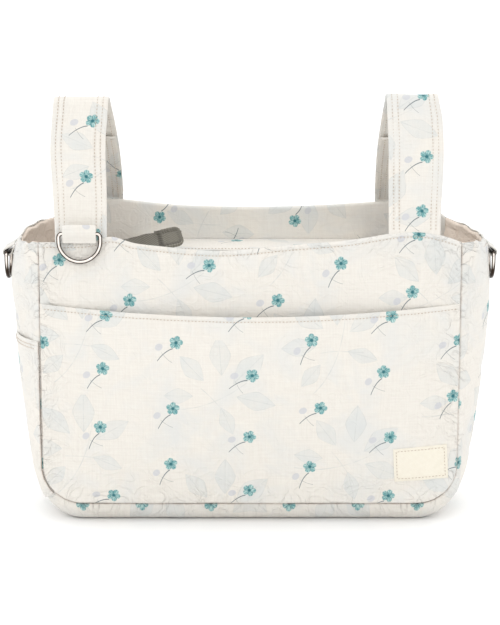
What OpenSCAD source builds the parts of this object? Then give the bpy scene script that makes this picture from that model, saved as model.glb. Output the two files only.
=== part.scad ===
// Diaper bag: a padded cotton organiser for a pushchair. Two upright panels are joined by one gusset
// that runs down the sides and under the floor; a zipped panel is hung inside the mouth from two
// facings; two strap loops close round a handlebar with hook-and-loop tape.
// Frame: origin on the floor, midway between the side seams and between the front and back seams.
// +X is to the right, -Y is the front, +Z is up.

/* [Body] */
// Width of the front and back panels between their side seams
body_w = 315; // [260:1:380]
// Depth between the front seam and the back seam
body_d = 120; // [100:1:150]
// Height of the hem at the four corners
body_h = 219; // [180:1:260]
// Height of the panels' bottom seam above the floor
seam_z = 17; // [12:0.5:24]
// Radius of the panels' lower corners at the seam
corner_r = 30; // [22:1:45]
// How far the gusset stands out from the side seam near the top
gusset_top = 27; // [18:0.5:34]
// How far the gusset stands out just above the lower corner
gusset_low = 14; // [8:0.5:17]
// How far the gusset's hem dips between the two panels
gusset_dip = 5; // [0:0.5:9]
// Depth of the flat floor
floor_d = 84; // [60:1:90]
// How far the middle of the front panel bows out
front_bow = 9; // [2:0.5:14]
// How far the middle of the back panel bows out
back_bow = 6; // [2:0.5:12]

/* [Hems] */
// How far the front hem dips near the middle
hem_dip = 6; // [0:0.5:9]
// How far the right strap lifts the front hem
hem_lift = 8; // [0:0.5:10]
// How far the middle of the front hem leans out
hem_lean = 3; // [0:0.5:6]
// How far the middle of the back hem stands above the corners
back_mid = 8.5; // [0:0.5:12]
// How far the straps lift the back hem above the corners
back_lift = 15; // [0:0.5:18]

/* [Layers] */
// Thickness of the outer cloth
cloth = 1; // [0.8:0.1:1.4]
// Thickness of the wadding between cloth and lining
wadding = 2.2; // [2.2:0.1:3.4]
// Thickness of the lining and of the facings
lining = 0.8; // [0.5:0.1:1.2]
// Air left between two plies
ply_gap = 0.3; // [0.2:0.05:0.4]

/* [Pockets] */
// Height of the front pocket at its side seams, from the bottom seam
pocket_h = 156; // [110:1:180]
// How far the middle of the front pocket's hem dips
pocket_dip = 7; // [0:0.5:10]
// How far the front pocket's hem stands off the panel in the middle
pocket_gape = 12; // [7:0.5:18]
// Height of the side pocket's hem above the floor
side_pocket_h = 141; // [100:1:165]
// How far the side pocket's hem stands off the gusset
side_gape = 6.4; // [5:0.1:9]
// How far the gusset gives way behind the side pocket
side_give = 9.8; // [0:0.1:11]
// Width of the sewn patch
patch_w = 41; // [24:1:60]
// Height of the sewn patch
patch_h = 27; // [16:1:40]
// Distance from the side seam to the patch's middle
patch_x = 28; // [26:0.5:70]
// Height of the patch's middle above the floor
patch_z = 50; // [45:1:90]
// Slant of the patch
patch_turn = -4; // [-8:0.5:8]

/* [Base board] */
// Thickness of the base board
board_t = 2; // [1.5:0.1:3]

/* [Zip] */
// Depth of the zipped panel below the corner hems
zip_drop = 18; // [14:0.5:30]
// Open space at each end of the mouth, from the side seam to the ends of the zip flaps
mouth_gap = 67.5; // [62:0.5:90]
// Thickness of a zip flap
flap_t = 1.6; // [1.2:0.1:2]
// Distance from the zip's middle to a flap's sewn edge
flap_edge = 8; // [7.5:0.1:10]
// Width of one zip tape
tape_w = 12.4; // [9:0.1:16]
// Thickness of a zip tape
tape_t = 0.8; // [0.6:0.1:1]
// Distance from one tooth to the next
tooth_pitch = 3; // [2.5:0.1:4]
// Length of a tooth beyond its cord
tooth_l = 1.4; // [1:0.1:1.8]
// Height of a tooth
tooth_h = 2.2; // [1.8:0.1:2.4]
// Half the space between the two rows of teeth
tooth_gap = 1.6; // [1.4:0.1:2]
// Length of the slider
slider_l = 12; // [10:0.5:14]
// Thickness of the slider's plates
slider_t = 1.2; // [0.9:0.1:1.5]
// Length of the pull from its pin to its tip
pull_l = 18; // [14:0.5:18]
// Width of the pull
pull_w = 7; // [6:0.5:8]
// Width of the tape that is folded back at the closed end
tail_w = 15; // [12:0.5:16]
// Radius of that fold
tail_r = 5; // [4.8:0.1:6]
// Length of the folded tape after its fold
tail_l = 26; // [18:1:34]
// Length of the cloth tab on the tape's end
tab_l = 21; // [14:0.5:26]

/* [Straps] */
// Width of a strap
strap_w = 40; // [30:1:44]
// Thickness of a strap
strap_t = 2.2; // [1.6:0.1:2.2]
// Distance from the left side seam to the left strap's middle
left_strap_in = 31; // [28:0.5:40]
// Distance from the right side seam to the right strap's middle
right_strap_in = 34.5; // [28:0.5:40]
// Height of a strap's top above the corner hems
strap_rise = 106; // [80:1:130]
// How much lower the left strap's top is
left_strap_low = 2; // [0:0.5:6]
// How far each strap leans to the bag's middle at the back hem
strap_splay = 5; // [0:0.5:8]
// Place of the strap's top in front of the bag's middle
strap_fore = 16; // [0:1:25]
// Radius of the fold at a strap's top
strap_r = 8; // [7:0.5:12]
// Length of the short back strap above the hem
back_strap_l = 72; // [50:1:80]
// Depth that the straps reach down inside the hem
strap_foot = 9; // [5:0.5:12]
// Width of the hook tape and loop tape
grip_w = 30; // [20:1:34]
// Length of the hook tape and loop tape
grip_l = 50; // [30:1:60]
// Thickness of the hook tape and of the loop tape
grip_t = 1.3; // [1:0.1:1.6]

/* [Rings] */
// Outside width of a D-ring
ring_w = 34; // [32:0.5:38]
// Outside height of a D-ring
ring_h = 24; // [22:0.5:28]
// Thickness of the ring's wire
wire_d = 3; // [2.5:0.1:3.5]
// Width of a ring's tab
tab_w = 25; // [18:0.5:25]
// Thickness of one ply of a ring's tab
tab_t = 1.2; // [1:0.1:1.5]
// Height that the front tab stands above the hem
tab_rise = 13; // [12:0.5:16]
// How far a side ring's bar hangs out from the gusset
side_reach = 3.5; // [3:0.5:7]
// How far a side ring's bar hangs below the gusset's hem
side_hang = 11; // [9:0.5:14]

/* [Hidden] */
$fn = 48;

half_w = body_w / 2;
half_d = body_d / 2;
left_strap_x = half_w - left_strap_in;
right_strap_x = half_w - right_strap_in;
print_cloth = "#f1eee7";
strap_cloth = "#f6f2e9";
lining_cloth = "#d8cabb";
zip_grey = "#6d6a63";
nickel = "#b9b2aa";

// Depths of the plies, measured inwards from the outer face of the cloth
ply_in = cloth + ply_gap;               // outer face of the wadding
lining_out = ply_in + wadding + ply_gap; // outer face of the lining
lining_in = lining_out + lining;         // inner face of the lining
rest_gap = 0.3;                          // air between a moving piece and its neighbour

// ---------------------------------------------------------------- surfaces

function lerp(a, b, k) = a + (b - a) * k;
function clamp(k) = min(1, max(0, k));
function smooth(k) = let (c = clamp(k)) c * c * (3 - 2 * c);
function bell(d, reach) = exp(-pow(d / reach, 2));

// A closed solid between two grids of points that have the same rows and columns
module skin(outer, inner) {
    m = len(outer);
    n = len(outer[0]);
    mi = floor(m / 2);
    ni = floor(n / 2);
    facing_out = cross(outer[mi + 1][ni] - outer[mi][ni], outer[mi][ni + 1] - outer[mi][ni])
        * (outer[mi][ni] - inner[mi][ni]) > 0;
    points = concat([for (r = outer) for (p = r) p], [for (r = inner) for (p = r) p]);
    rim = concat(
        [for (i = [0:m - 1]) i * n], [for (j = [1:n - 1]) (m - 1) * n + j],
        [for (i = [m - 2:-1:0]) i * n + n - 1], [for (j = [n - 2:-1:1]) j]
    );
    sheet = [
        for (i = [0:m - 2]) for (j = [0:n - 2]) let (a = i * n + j, b = a + n)
            each [[a, a + 1, b + 1], [a, b + 1, b]]
    ];
    back = [for (f = sheet) [f[2] + m * n, f[1] + m * n, f[0] + m * n]];
    edge = [
        for (k = [0:len(rim) - 1]) let (a = rim[k], b = rim[(k + 1) % len(rim)])
            each [[a, b, b + m * n], [a, b + m * n, a + m * n]]
    ];
    all = concat(sheet, back, edge);
    polyhedron(points, facing_out ? all : [for (f = all) [f[2], f[1], f[0]]]);
}

// ---------------------------------------------------------------- the body's form

// Front hem: level at the corners, dipping left of the middle, lifted where the right strap pulls
dip_x = -25;
dip_reach = 50;
lift_reach = 40;
function front_hem(x) = body_h - hem_dip * bell(x - dip_x, dip_reach)
    + hem_lift * bell(x - right_strap_x, lift_reach) * (1 - pow(abs(x) / half_w, 16));

// Back hem: lifted by both straps, a little lower between them
function back_hem(x) = body_h
    + lerp(back_mid, back_lift, min(1.2, pow(x / right_strap_x, 2))) * (1 - pow(abs(x) / half_w, 8));

// Bottom edge of a panel whose outline is drawn in by inset, at x
function panel_foot(x, inset = 0) = let (
    r = corner_r - inset, over = max(0, abs(x) - (half_w - corner_r)))
    seam_z + corner_r - sqrt(max(0, r * r - over * over));

// How far a panel bows out at x, z: nothing at its seams and its hem, most in the middle
function bow(x, z, amount, hem) = let (
    low = panel_foot(x), v = clamp((z - low) / (hem - low)))
    amount * (1 - pow(x / half_w, 2)) * pow(sin(180 * v), 1.5);

// The middle of the front hem leans out, between the straps only
lean_w = right_strap_x - strap_w / 2 - 6;
function lean(x, z) = let (v = clamp((z - seam_z) / (front_hem(x) - seam_z)))
    hem_lean * pow(max(0, 1 - pow(x / lean_w, 2)), 2) * pow(v, 4);

function front_y(x, z) = -half_d - bow(x, z, front_bow, front_hem(x)) - lean(x, z);
function back_y(x, z) = half_d + bow(x, z, back_bow, back_hem(x));

// Columns across a panel: close together round the lower corners
mid_columns = 10;
function columns(inset = 0) = let (flat = half_w - corner_r, r = corner_r - inset) concat(
    [for (a = [-90:22.5:-22.5]) -flat + r * sin(a)],
    [for (i = [0:mid_columns]) lerp(-flat, flat, i / mid_columns)],
    [for (a = [22.5:22.5:90]) flat + r * sin(a)]
);
panel_rows = 12;

// Zipped panel: height of its flaps' middle, place of its hinge lines
zip_z = body_h - zip_drop;
hinge_y = half_d - lining_in - rest_gap - flap_t / 2;
chain_z = zip_z - flap_t / 2 - ply_gap - tape_t / 2;

// Near the zip, the facing and the lining are drawn in to a straight seam
draw_in = 20;
function drawn(z) = smooth(1 - abs(z - zip_z) / draw_in);
function front_ply(x, z, depth) = lerp(front_y(x, z), -half_d, drawn(z)) + depth;
function back_ply(x, z, depth) = lerp(back_y(x, z), half_d, drawn(z)) - depth;

// Grids of points on a panel, depth mm in from its outer face, from its foot to drop mm under its hem
function front_grid(depth, inset = 0, drop = 0) = [
    for (x = columns(inset)) let (low = panel_foot(x, inset), high = front_hem(x) - drop) [
        for (j = [0:panel_rows]) let (z = lerp(low, high, j / panel_rows))
            [x, front_y(x, z) + depth, z]
    ]
];
function back_grid(depth, inset = 0, drop = 0) = [
    for (x = columns(inset)) let (low = panel_foot(x, inset), high = back_hem(x) - drop) [
        for (j = [0:panel_rows]) let (z = lerp(low, high, j / panel_rows))
            [x, back_y(x, z) - depth, z]
    ]
];

// ---------------------------------------------------------------- the gusset's form

side_rows = 10;
corner_rows = 4;
floor_rows = 2;
floor_share = floor_d / body_d;
corner_z = seam_z + corner_r;
full_drop = 36;  // depth of the fullest height below the hem
fullest_z = body_h - full_drop;
top_slack = 3;

// How far the gusset stands out from the side seam at height z
function side_out(z) = z < fullest_z
    ? lerp(gusset_low, gusset_top, sin(90 * clamp((z - corner_z) / (fullest_z - corner_z))))
    : gusset_top - top_slack * pow((z - fullest_z) / (body_h - fullest_z), 2);

// The left side gives way behind its pocket's hem, and fades below and above it over these reaches
give_low = 70;
give_high = 28;
function give(x, z) = x < 0
    ? side_give * bell(z - side_pocket_h, z < side_pocket_h ? give_low : give_high) : 0;

// Cross-section of the gusset: 1 in the middle and 0 at the two seams, flat over the share given
function arch(t, flat) = 1 - pow(max(0, abs(t) - flat) / (1 - flat), 2);

// A point on the gusset's outer face. side is -1 or 1, k runs 0 to 1 down that side's straight part
function side_point(side, k, t) = let (
    z = lerp(body_h - gusset_dip * (1 - t * t), corner_z, k),
    out = side_out(z) - give(side, z))
    [side * (half_w + out * arch(t, 0)), half_d * t, z];
// a runs 0 to 90 degrees from the side to the floor
function corner_point(side, a, t) = let (
    k = smooth(a / 90),
    side_arch = (gusset_low - give(side, corner_z)) * arch(t, 0),
    r = corner_r + lerp(side_arch, seam_z * arch(t, floor_share), k))
    [side * (half_w - corner_r + r * cos(a)), half_d * t, corner_z - r * sin(a)];
function floor_point(k, t) = [
    lerp(-1, 1, k) * (half_w - corner_r), half_d * t, seam_z * (1 - arch(t, floor_share))
];

// The whole gusset from the top left, under the floor, to the top right
function gusset_face(ts) = concat(
    [for (i = [0:side_rows]) [for (t = ts) side_point(-1, i / side_rows, t)]],
    [for (i = [1:corner_rows]) [for (t = ts) corner_point(-1, 90 * i / corner_rows, t)]],
    [for (i = [1:floor_rows - 1]) [for (t = ts) floor_point(i / floor_rows, t)]],
    [for (i = [corner_rows:-1:1]) [for (t = ts) corner_point(1, 90 * i / corner_rows, t)]],
    [for (i = [side_rows:-1:0]) [for (t = ts) side_point(1, i / side_rows, t)]]
);

// A grid moved inwards by depth along its own normals
function unit(v) = v / norm(v);
function normal_in(g, i, j) = unit(cross(
    g[min(i + 1, len(g) - 1)][j] - g[max(i - 1, 0)][j],
    g[i][min(j + 1, len(g[0]) - 1)] - g[i][max(j - 1, 0)]));
function offset_in(g, depth) = [
    for (i = [0:len(g) - 1]) [for (j = [0:len(g[0]) - 1]) g[i][j] + depth * normal_in(g, i, j)]
];

// Places across the gusset, 0 in the middle and 1 at a seam. Each ply stops short of the panels' plies
mid_ts = [-0.86, -0.78, -0.7, -0.4, 0, 0.4, 0.7, 0.78, 0.86];
function ts_to(ends) = concat([for (e = ends) -e], mid_ts, [for (k = [len(ends) - 1:-1:0]) ends[k]]);
cloth_ts = ts_to([1 - ply_in / half_d, 0.92]);
inner_ts = ts_to([1 - (lining_in + ply_gap) / half_d]);

// ---------------------------------------------------------------- shell, wadding and lining

module front_panel() {
    color(print_cloth) skin(front_grid(0), front_grid(cloth));
}

module back_panel() {
    color(print_cloth) skin(back_grid(0), back_grid(cloth));
}

module gusset() {
    g = gusset_face(cloth_ts);
    color(print_cloth) skin(g, offset_in(g, cloth));
}

// The wadding stops below the hem, where the straps' feet are sewn in
wadding_drop = strap_foot + 4;
module front_wadding() {
    color("white")
        skin(front_grid(ply_in, 1, wadding_drop), front_grid(ply_in + wadding, 1, wadding_drop));
}

module back_wadding() {
    color("white")
        skin(back_grid(ply_in, 1, wadding_drop), back_grid(ply_in + wadding, 1, wadding_drop));
}

module gusset_wadding() {
    g = gusset_face(inner_ts);
    color("white") skin(offset_in(g, ply_in), offset_in(g, ply_in + wadding));
}

// The front and back linings hang from the zip seam
lining_rows = 12;
module panel_lining(front) {
    inset = lining_in;
    side = front ? 1 : -1;
    grid = [
        for (x = columns(inset)) let (low = panel_foot(x, inset) + ply_gap, high = zip_z - ply_gap) [
            for (j = [0:lining_rows]) let (z = lerp(low, high, j / lining_rows))
                [x, front ? front_ply(x, z, lining_out) : back_ply(x, z, lining_out), z]
        ]
    ];
    color(lining_cloth) skin(grid, [for (c = grid) [for (p = c) p + [0, side * lining, 0]]]);
}

module front_lining() {
    panel_lining(true);
}

module back_lining() {
    panel_lining(false);
}

module gusset_lining() {
    g = gusset_face(inner_ts);
    color(lining_cloth) skin(offset_in(g, lining_out), offset_in(g, lining_in));
}

// A strip of the printed cloth inside the mouth, from the hem down to the zip seam
facing_rows = 3;
module facing(front) {
    side = front ? 1 : -1;
    grid = [
        for (x = columns(lining_in)) let (high = front ? front_hem(x) : back_hem(x)) [
            for (j = [0:facing_rows]) let (z = lerp(zip_z, high, j / facing_rows))
                [x, front ? front_ply(x, z, lining_out) : back_ply(x, z, lining_out), z]
        ]
    ];
    color(print_cloth) skin(grid, [for (c = grid) [for (p = c) p + [0, side * lining, 0]]]);
}

module front_facing() {
    facing(true);
}

module back_facing() {
    facing(false);
}

module base_board() {
    l = body_w - 2 * corner_r;
    color("dimgray") translate([-l / 2, -floor_d / 2, lining_in + ply_gap])
        cube([l, floor_d, board_t]);
}

// ---------------------------------------------------------------- pockets

pocket_ply = 1.2;    // two plies of cotton
pocket_seat = 0.5;   // air between pocket and panel at the seams
pocket_rows = 6;

function pocket_hem(x) = seam_z + pocket_h - pocket_dip * (1 - pow(x / half_w, 2));
// Inner face of the front pocket
function pocket_y(x, z) = let (low = panel_foot(x), v = clamp((z - low) / (pocket_hem(x) - low)))
    front_y(x, z) - pocket_seat - pocket_gape * (1 - pow(x / half_w, 2)) * sin(90 * v);

module front_pocket() {
    inner = [
        for (x = columns()) let (low = panel_foot(x)) [
            for (j = [0:pocket_rows]) let (z = lerp(low, pocket_hem(x), j / pocket_rows))
                [x, pocket_y(x, z), z]
        ]
    ];
    color(print_cloth) skin([for (c = inner) [for (p = c) p - [0, pocket_ply, 0]]], inner);
}

// The side pocket covers the left side from the lower corner up to its hem
side_pocket_rows = 5;
side_ts = ts_to([0.96, 0.92]);
module side_pocket() {
    top_k = 1 - (side_pocket_h - corner_z) / (body_h - gusset_dip - corner_z);
    under = concat(
        [for (i = [0:side_pocket_rows])
            [for (t = side_ts) side_point(-1, lerp(top_k, 1, i / side_pocket_rows), t)]],
        [for (a = [22.5, 45]) [for (t = side_ts) corner_point(-1, a, t)]]
    );
    last = len(under) - 1;
    stand = [
        for (i = [0:last]) [
            for (j = [0:len(side_ts) - 1]) pocket_seat
                + (side_gape - pocket_seat) * arch(side_ts[j], 0) * sin(90 * (1 - i / last))
        ]
    ];
    inner = [for (i = [0:last]) [
        for (j = [0:len(side_ts) - 1]) under[i][j] - stand[i][j] * normal_in(under, i, j)]];
    outer = [for (i = [0:last]) [
        for (j = [0:len(side_ts) - 1]) under[i][j] - (stand[i][j] + pocket_ply) * normal_in(under, i, j)]];
    color(print_cloth) skin(outer, inner);
}

patch_t = 0.8;
module label_patch() {
    cx = half_w - patch_x;
    inner = [
        for (i = [0:5]) [
            for (j = [0:4]) let (
                a = lerp(-patch_w, patch_w, i / 5) / 2, b = lerp(-patch_h, patch_h, j / 4) / 2,
                x = cx + a * cos(patch_turn) + b * sin(patch_turn),
                z = patch_z - a * sin(patch_turn) + b * cos(patch_turn))
                [x, pocket_y(x, z) - pocket_ply - rest_gap, z]
        ]
    ];
    color("#f2eee1") skin([for (c = inner) [for (p = c) p - [0, patch_t, 0]]], inner);
}

// ---------------------------------------------------------------- zip

flap_l = body_w - 2 * mouth_gap;
flap_end = flap_l / 2;
cord_w = 1.2;                                  // cord that carries the teeth
tape_y = tooth_gap + tooth_l + cord_w + ply_gap; // inner edge of a tape
tooth_w = 0.45 * tooth_pitch;                  // width of a tooth at its cord
slider_x = flap_end + 0.7 + slider_l / 2;      // where the slider stands, past the flaps' right end
stop_x = slider_x + slider_l / 2 + rest_gap;   // inner face of the bottom stop
stop_l = 2;
tail_x = -flap_end - 0.4;                      // where the folded tape starts

// One flap: its round edge turns in the crook of the facing
module zip_flap(side) {
    color(print_cloth) {
        translate([-flap_end, side < 0 ? -hinge_y : flap_edge, zip_z - flap_t / 2])
            cube([flap_l, hinge_y - flap_edge, flap_t]);
        translate([-flap_end, side * hinge_y, zip_z]) rotate([0, 90, 0])
            cylinder(d = flap_t, h = flap_l);
    }
}

module front_zip_flap() {
    zip_flap(-1);
}

module back_zip_flap() {
    zip_flap(1);
}

// Tape from x0 to x1 on the front (-1) or back (1) of the zip
module tape(side, x0, x1) {
    translate([x0, side < 0 ? -tape_y - tape_w : tape_y, chain_z - tape_t / 2])
        cube([x1 - x0, tape_w, tape_t]);
}

// A row of teeth from x0 to x1: a cord with tapered teeth that point at the zip's middle
module teeth(side, x0, x1) {
    count = floor((x1 - x0 - tooth_w) / tooth_pitch);
    base = tooth_gap + tooth_l;
    outline = concat(
        [[x0, base + cord_w], [x0, base]],
        [for (k = [0:count]) let (c = x0 + tooth_w / 2 + 0.1 + k * tooth_pitch) each [
            [c - tooth_w / 2, base], [c - tooth_w / 2, tooth_gap + 0.4], [c - tooth_w / 4, tooth_gap],
            [c + tooth_w / 4, tooth_gap], [c + tooth_w / 2, tooth_gap + 0.4], [c + tooth_w / 2, base]
        ]],
        [[x1, base], [x1, base + cord_w]]
    );
    translate([0, 0, chain_z - tooth_h / 2]) linear_extrude(tooth_h)
        scale([1, side]) polygon(outline);
}

module zip_tape_front() {
    color(zip_grey) tape(-1, -flap_end, stop_x - 0.1);
}

module zip_tape_back() {
    color(zip_grey) tape(1, -flap_end, flap_end);
}

module zip_teeth_front() {
    color(zip_grey) teeth(-1, -flap_end, stop_x - 0.1);
}

module zip_teeth_back() {
    color(zip_grey) teeth(1, -flap_end, flap_end);
}

// Open end of the zip: the last of the back tape with its teeth, and the stop that joins both tapes
module zip_bottom_stop() {
    color(zip_grey) {
        translate([flap_end + 0.4, tooth_gap + tooth_l, chain_z - tape_t / 2])
            cube([stop_x - flap_end - 0.4, cord_w + ply_gap + tape_w, tape_t]);
        teeth(1, flap_end + 0.4, stop_x);
        translate([stop_x, -tape_y - 1, chain_z - tooth_h / 2 - 0.2])
            cube([stop_l, 2 * tape_y + 2, tooth_h + 0.4]);
    }
}

// Closed end of the zip: both tapes run out, fold up and back over the front flap and twist
tail_run = 8;      // length before the fold
tail_t = 1.2;
tail_start_w = 2 * tape_y + 16;
tail_shift = 7;    // how far the folded tape lies in front of the teeth
tail_tilt = 45;
fold_steps = 8;
back_steps = 4;
function tail_path() = concat(
    [[tail_x, 0, chain_z], [tail_x - tail_run / 2, 0, chain_z]],
    [for (i = [0:fold_steps]) let (a = 180 * i / fold_steps, k = smooth(i / (fold_steps + 2)))
        [tail_x - tail_run - tail_r * sin(a), -tail_shift * k, chain_z + tail_r * (1 - cos(a))]],
    [for (i = [1:back_steps]) let (k = smooth((fold_steps + i) / (fold_steps + 2)))
        [tail_x - tail_run + tail_l * i / back_steps, -tail_shift * k, chain_z + 2 * tail_r]]
);
function tail_turn(i) = tail_tilt * smooth((i - 2) / (fold_steps + 2));

module zip_tail() {
    path = tail_path();
    last = len(path) - 1;
    rings = [
        for (i = [0:last]) let (
            along = unit(path[min(i + 1, last)] - path[max(i - 1, 0)]),
            up = cross(along, [0, 1, 0]),
            wide = unit(cos(tail_turn(i)) * [0, 1, 0] + sin(tail_turn(i)) * up),
            thick = unit(cross(along, wide)),
            w = lerp(tail_start_w, tail_w, smooth((i - 1) / fold_steps)) / 2)
            [for (c = [-1:0.5:1]) [path[i] + c * w * wide, thick]]
    ];
    color(zip_grey) skin(
        [for (r = rings) [for (q = r) q[0] + tail_t / 2 * q[1]]],
        [for (r = rings) [for (q = r) q[0] - tail_t / 2 * q[1]]]
    );
}

// Cloth tab over the tape's end, with a round tip
tab_ply = 3;
module zip_end_tab() {
    h = tail_w + 2;
    start = tail_x - tail_run + tail_l + ply_gap;
    color("#66625c") translate([start, -tail_shift, chain_z + 2 * tail_r])
        rotate([tail_tilt, 0, 0]) translate([0, 0, -tab_ply / 2]) linear_extrude(tab_ply) {
            translate([0, -h / 2]) square([tab_l - 5, h]);
            translate([0, 5 - h / 2]) square([tab_l, h - 10]);
            for (y = [5 - h / 2, h / 2 - 5]) translate([tab_l - 5, y]) circle(r = 5);
        }
}

// Slider: two plates joined by a wedge between the rows of teeth, flanges that hold the cords,
// and an eye for the pull's pin
channel = tooth_h / 2 + rest_gap;                     // half height inside the slider
plate_w = 2 * (tape_y + 1.8);
eye_r = 1.5;
pin_r = 0.8;
pin_z = chain_z + channel + slider_t + eye_r + 0.2;
module rounded_plate(l, w, r) {
    square([l - 2 * r, w], center = true);
    square([l, w - 2 * r], center = true);
    for (x = [-1, 1], y = [-1, 1]) translate([x * (l / 2 - r), y * (w / 2 - r)]) circle(r = r);
}

module zip_slider() {
    color("#8d8a84") {
        for (s = [-1, 1]) {
            translate([slider_x, 0, chain_z + (s > 0 ? channel : -channel - slider_t)])
                linear_extrude(slider_t) rounded_plate(slider_l, plate_w, 2);
            for (y = [-1, 1])
                translate([slider_x - slider_l / 2 + 2, y * (plate_w / 2 - 0.5) - 0.5,
                        chain_z + (s > 0 ? tape_t / 2 + rest_gap : -channel)])
                    cube([slider_l - 4, 1, channel - tape_t / 2 - rest_gap]);
        }
        translate([slider_x - slider_l / 2 + 0.5, 0, chain_z - channel]) linear_extrude(2 * channel)
            polygon([[0, 0], [1.5, tooth_gap - 0.3], [4.5, tooth_gap - 0.3], [6, 0],
                [4.5, 0.3 - tooth_gap], [1.5, 0.3 - tooth_gap]]);
        difference() {
            union() {
                translate([slider_x - eye_r, -eye_r, chain_z + channel + slider_t / 2])
                    cube([2 * eye_r, 2 * eye_r, pin_z - chain_z - channel - slider_t / 2]);
                translate([slider_x, eye_r, pin_z]) rotate([90, 0, 0])
                    cylinder(r = eye_r, h = 2 * eye_r);
            }
            translate([slider_x, eye_r + 1, pin_z]) rotate([90, 0, 0])
                cylinder(r = pin_r + 0.2, h = 2 * eye_r + 2);
        }
    }
}

// Pull: a pin through the eye, two cheeks and a flat tongue with a slot near its tip
cheek_t = 1;
pull_t = 1.2;
module zip_pull() {
    cheek_y = eye_r + rest_gap;
    color("#9a968f") translate([slider_x, 0, pin_z]) {
        translate([0, cheek_y + 0.01, 0]) rotate([90, 0, 0])
            cylinder(r = pin_r, h = 2 * cheek_y + 0.02);
        for (s = [-1, 1]) {
            translate([0, s > 0 ? cheek_y + cheek_t : -cheek_y, 0]) rotate([90, 0, 0])
                cylinder(r = pin_r + 0.4, h = cheek_t);
            translate([-4, s > 0 ? cheek_y : -cheek_y - cheek_t, -pull_t / 2])
                cube([4, cheek_t, pull_t]);
        }
        translate([0, 0, -pull_t / 2]) linear_extrude(pull_t) difference() {
            union() {
                translate([-pull_l + pull_w / 2, -pull_w / 2])
                    square([pull_l - pull_w / 2 - 3, pull_w]);
                translate([-pull_l + pull_w / 2, 0]) circle(d = pull_w);
            }
            translate([-pull_l + pull_w / 2, 0]) circle(d = pull_w - 3);
        }
    }
}

// ---------------------------------------------------------------- straps

// Seen from the side, in Y and Z: a strap rises from inside the front hem, folds over a round top and
// comes down behind, where it lies on the short back strap
function fold_c(s) = [
    -strap_fore, body_h + strap_rise - (s < 0 ? left_strap_low : 0) - strap_r - strap_t / 2
];
foot_y = half_d - ply_in - wadding / 2;
lay = strap_t + 2 * grip_t + rest_gap; // from the back strap's middle to the flap's middle

function angle_of(v) = atan2(v[1], v[0]);
function dir(a) = [cos(a), sin(a)];
function strap_x(s) = s < 0 ? -left_strap_x : right_strap_x;
function front_knee(s) = [-foot_y, front_hem(strap_x(s)) + 1];
function back_knee(s) = [foot_y, back_hem(strap_x(s)) + 1];
// Slopes of the two legs, each tangent to the fold
function front_slope(s) = let (v = fold_c(s) - front_knee(s)) angle_of(v) + asin(strap_r / norm(v));
function back_slope(s) = let (v = back_knee(s) - fold_c(s)) angle_of(v) - asin((strap_r - lay) / norm(v));
// The flap hinges where the fold ends
function flap_hinge(s) = fold_c(s) + strap_r * dir(back_slope(s) + 90);
// Distance from there down the rear leg to the back hem, and the lean towards the middle on the way
function leg_len(s) = (back_knee(s) - flap_hinge(s)) * dir(back_slope(s));
function splay(s, along) = -s * strap_splay * along / leg_len(s);

// Draws a flat outline in Y and Z as wide as the strap, and a plate along one leg
module strap_profile(s, w = strap_w) {
    translate([strap_x(s) - w / 2, 0, 0]) rotate([90, 0, 90]) linear_extrude(w) children();
}
module leg_2d(from, to, t = strap_t) {
    v = to - from;
    translate(from) rotate(angle_of(v)) translate([0, -t / 2]) square([norm(v), t]);
}

leg_lap = 0.05; // the leg runs this far into the fold
module strap_front(s) {
    knee = front_knee(s);
    a0 = front_slope(s) + 90;
    stop_short = (strap_t / 2 + rest_gap) / strap_r * 180 / PI;
    a1 = back_slope(s) + 90 + stop_short;
    color(strap_cloth) strap_profile(s) {
        leg_2d(knee - [0, strap_foot + 1], knee);
        translate(knee) circle(d = strap_t);
        leg_2d(knee, fold_c(s) + strap_r * dir(a0) + leg_lap * dir(front_slope(s)));
        translate(fold_c(s)) intersection() {
            difference() {
                circle(r = strap_r + strap_t / 2);
                circle(r = strap_r - strap_t / 2);
            }
            polygon(concat([[0, 0]], [for (k = [0:4]) 2 * strap_r * dir(lerp(a1, a0, k / 4))]));
        }
    }
}

// A plate on the rear leg, from one distance below the hinge to another. Its under face is at height
module leg_plate(s, from, to, w, height, t) {
    h = flap_hinge(s);
    a = splay(s, from);
    b = splay(s, to);
    translate([strap_x(s), h[0], h[1]]) rotate([back_slope(s), 0, 0]) translate([0, 0, height])
        linear_extrude(t) polygon([
            [a - w / 2, from], [a + w / 2, from], [b + w / 2, to], [b - w / 2, to]
        ]);
}

// The free end of the strap: it peels off the back strap and turns about its round upper edge
module strap_flap(s) {
    h = flap_hinge(s);
    color(strap_cloth) {
        leg_plate(s, 0, flap_len(s), strap_w, -strap_t / 2, strap_t);
        translate([strap_x(s), h[0], h[1]]) rotate([0, 90, 0])
            cylinder(d = strap_t, h = strap_w, center = true);
    }
}
// The flap ends just above the back hem
flap_clear = 4;
function flap_len(s) = (flap_hinge(s)[1] - back_knee(s)[1] - flap_clear) / -sin(back_slope(s));

// Its foot is a little narrower and thinner, pressed between the plies of the hem
module strap_back(s) {
    knee = back_knee(s);
    foot_t = strap_t - 0.2;
    color(strap_cloth) {
        translate([splay(s, leg_len(s)), 0, 0]) strap_profile(s, strap_w - 0.6) {
            leg_2d(knee - [0, strap_foot + 1], knee, foot_t);
            translate(knee) circle(d = foot_t);
        }
        leg_plate(s, leg_len(s) - back_strap_l, leg_len(s), strap_w, -lay - strap_t / 2, strap_t);
    }
}

// Hook tape on the back strap's rear face, loop tape on the flap's inner face
module grip(s, height, name) {
    color(name) leg_plate(s, flap_len(s) - grip_l - 4, flap_len(s) - 4, grip_w, height, grip_t);
}
grip_seat = 0.05;
module loop_tape(s) {
    grip(s, -strap_t / 2 - grip_t - grip_seat, "whitesmoke");
}
module hook_tape(s) {
    grip(s, -lay + strap_t / 2 + grip_seat, "gainsboro");
}

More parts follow.
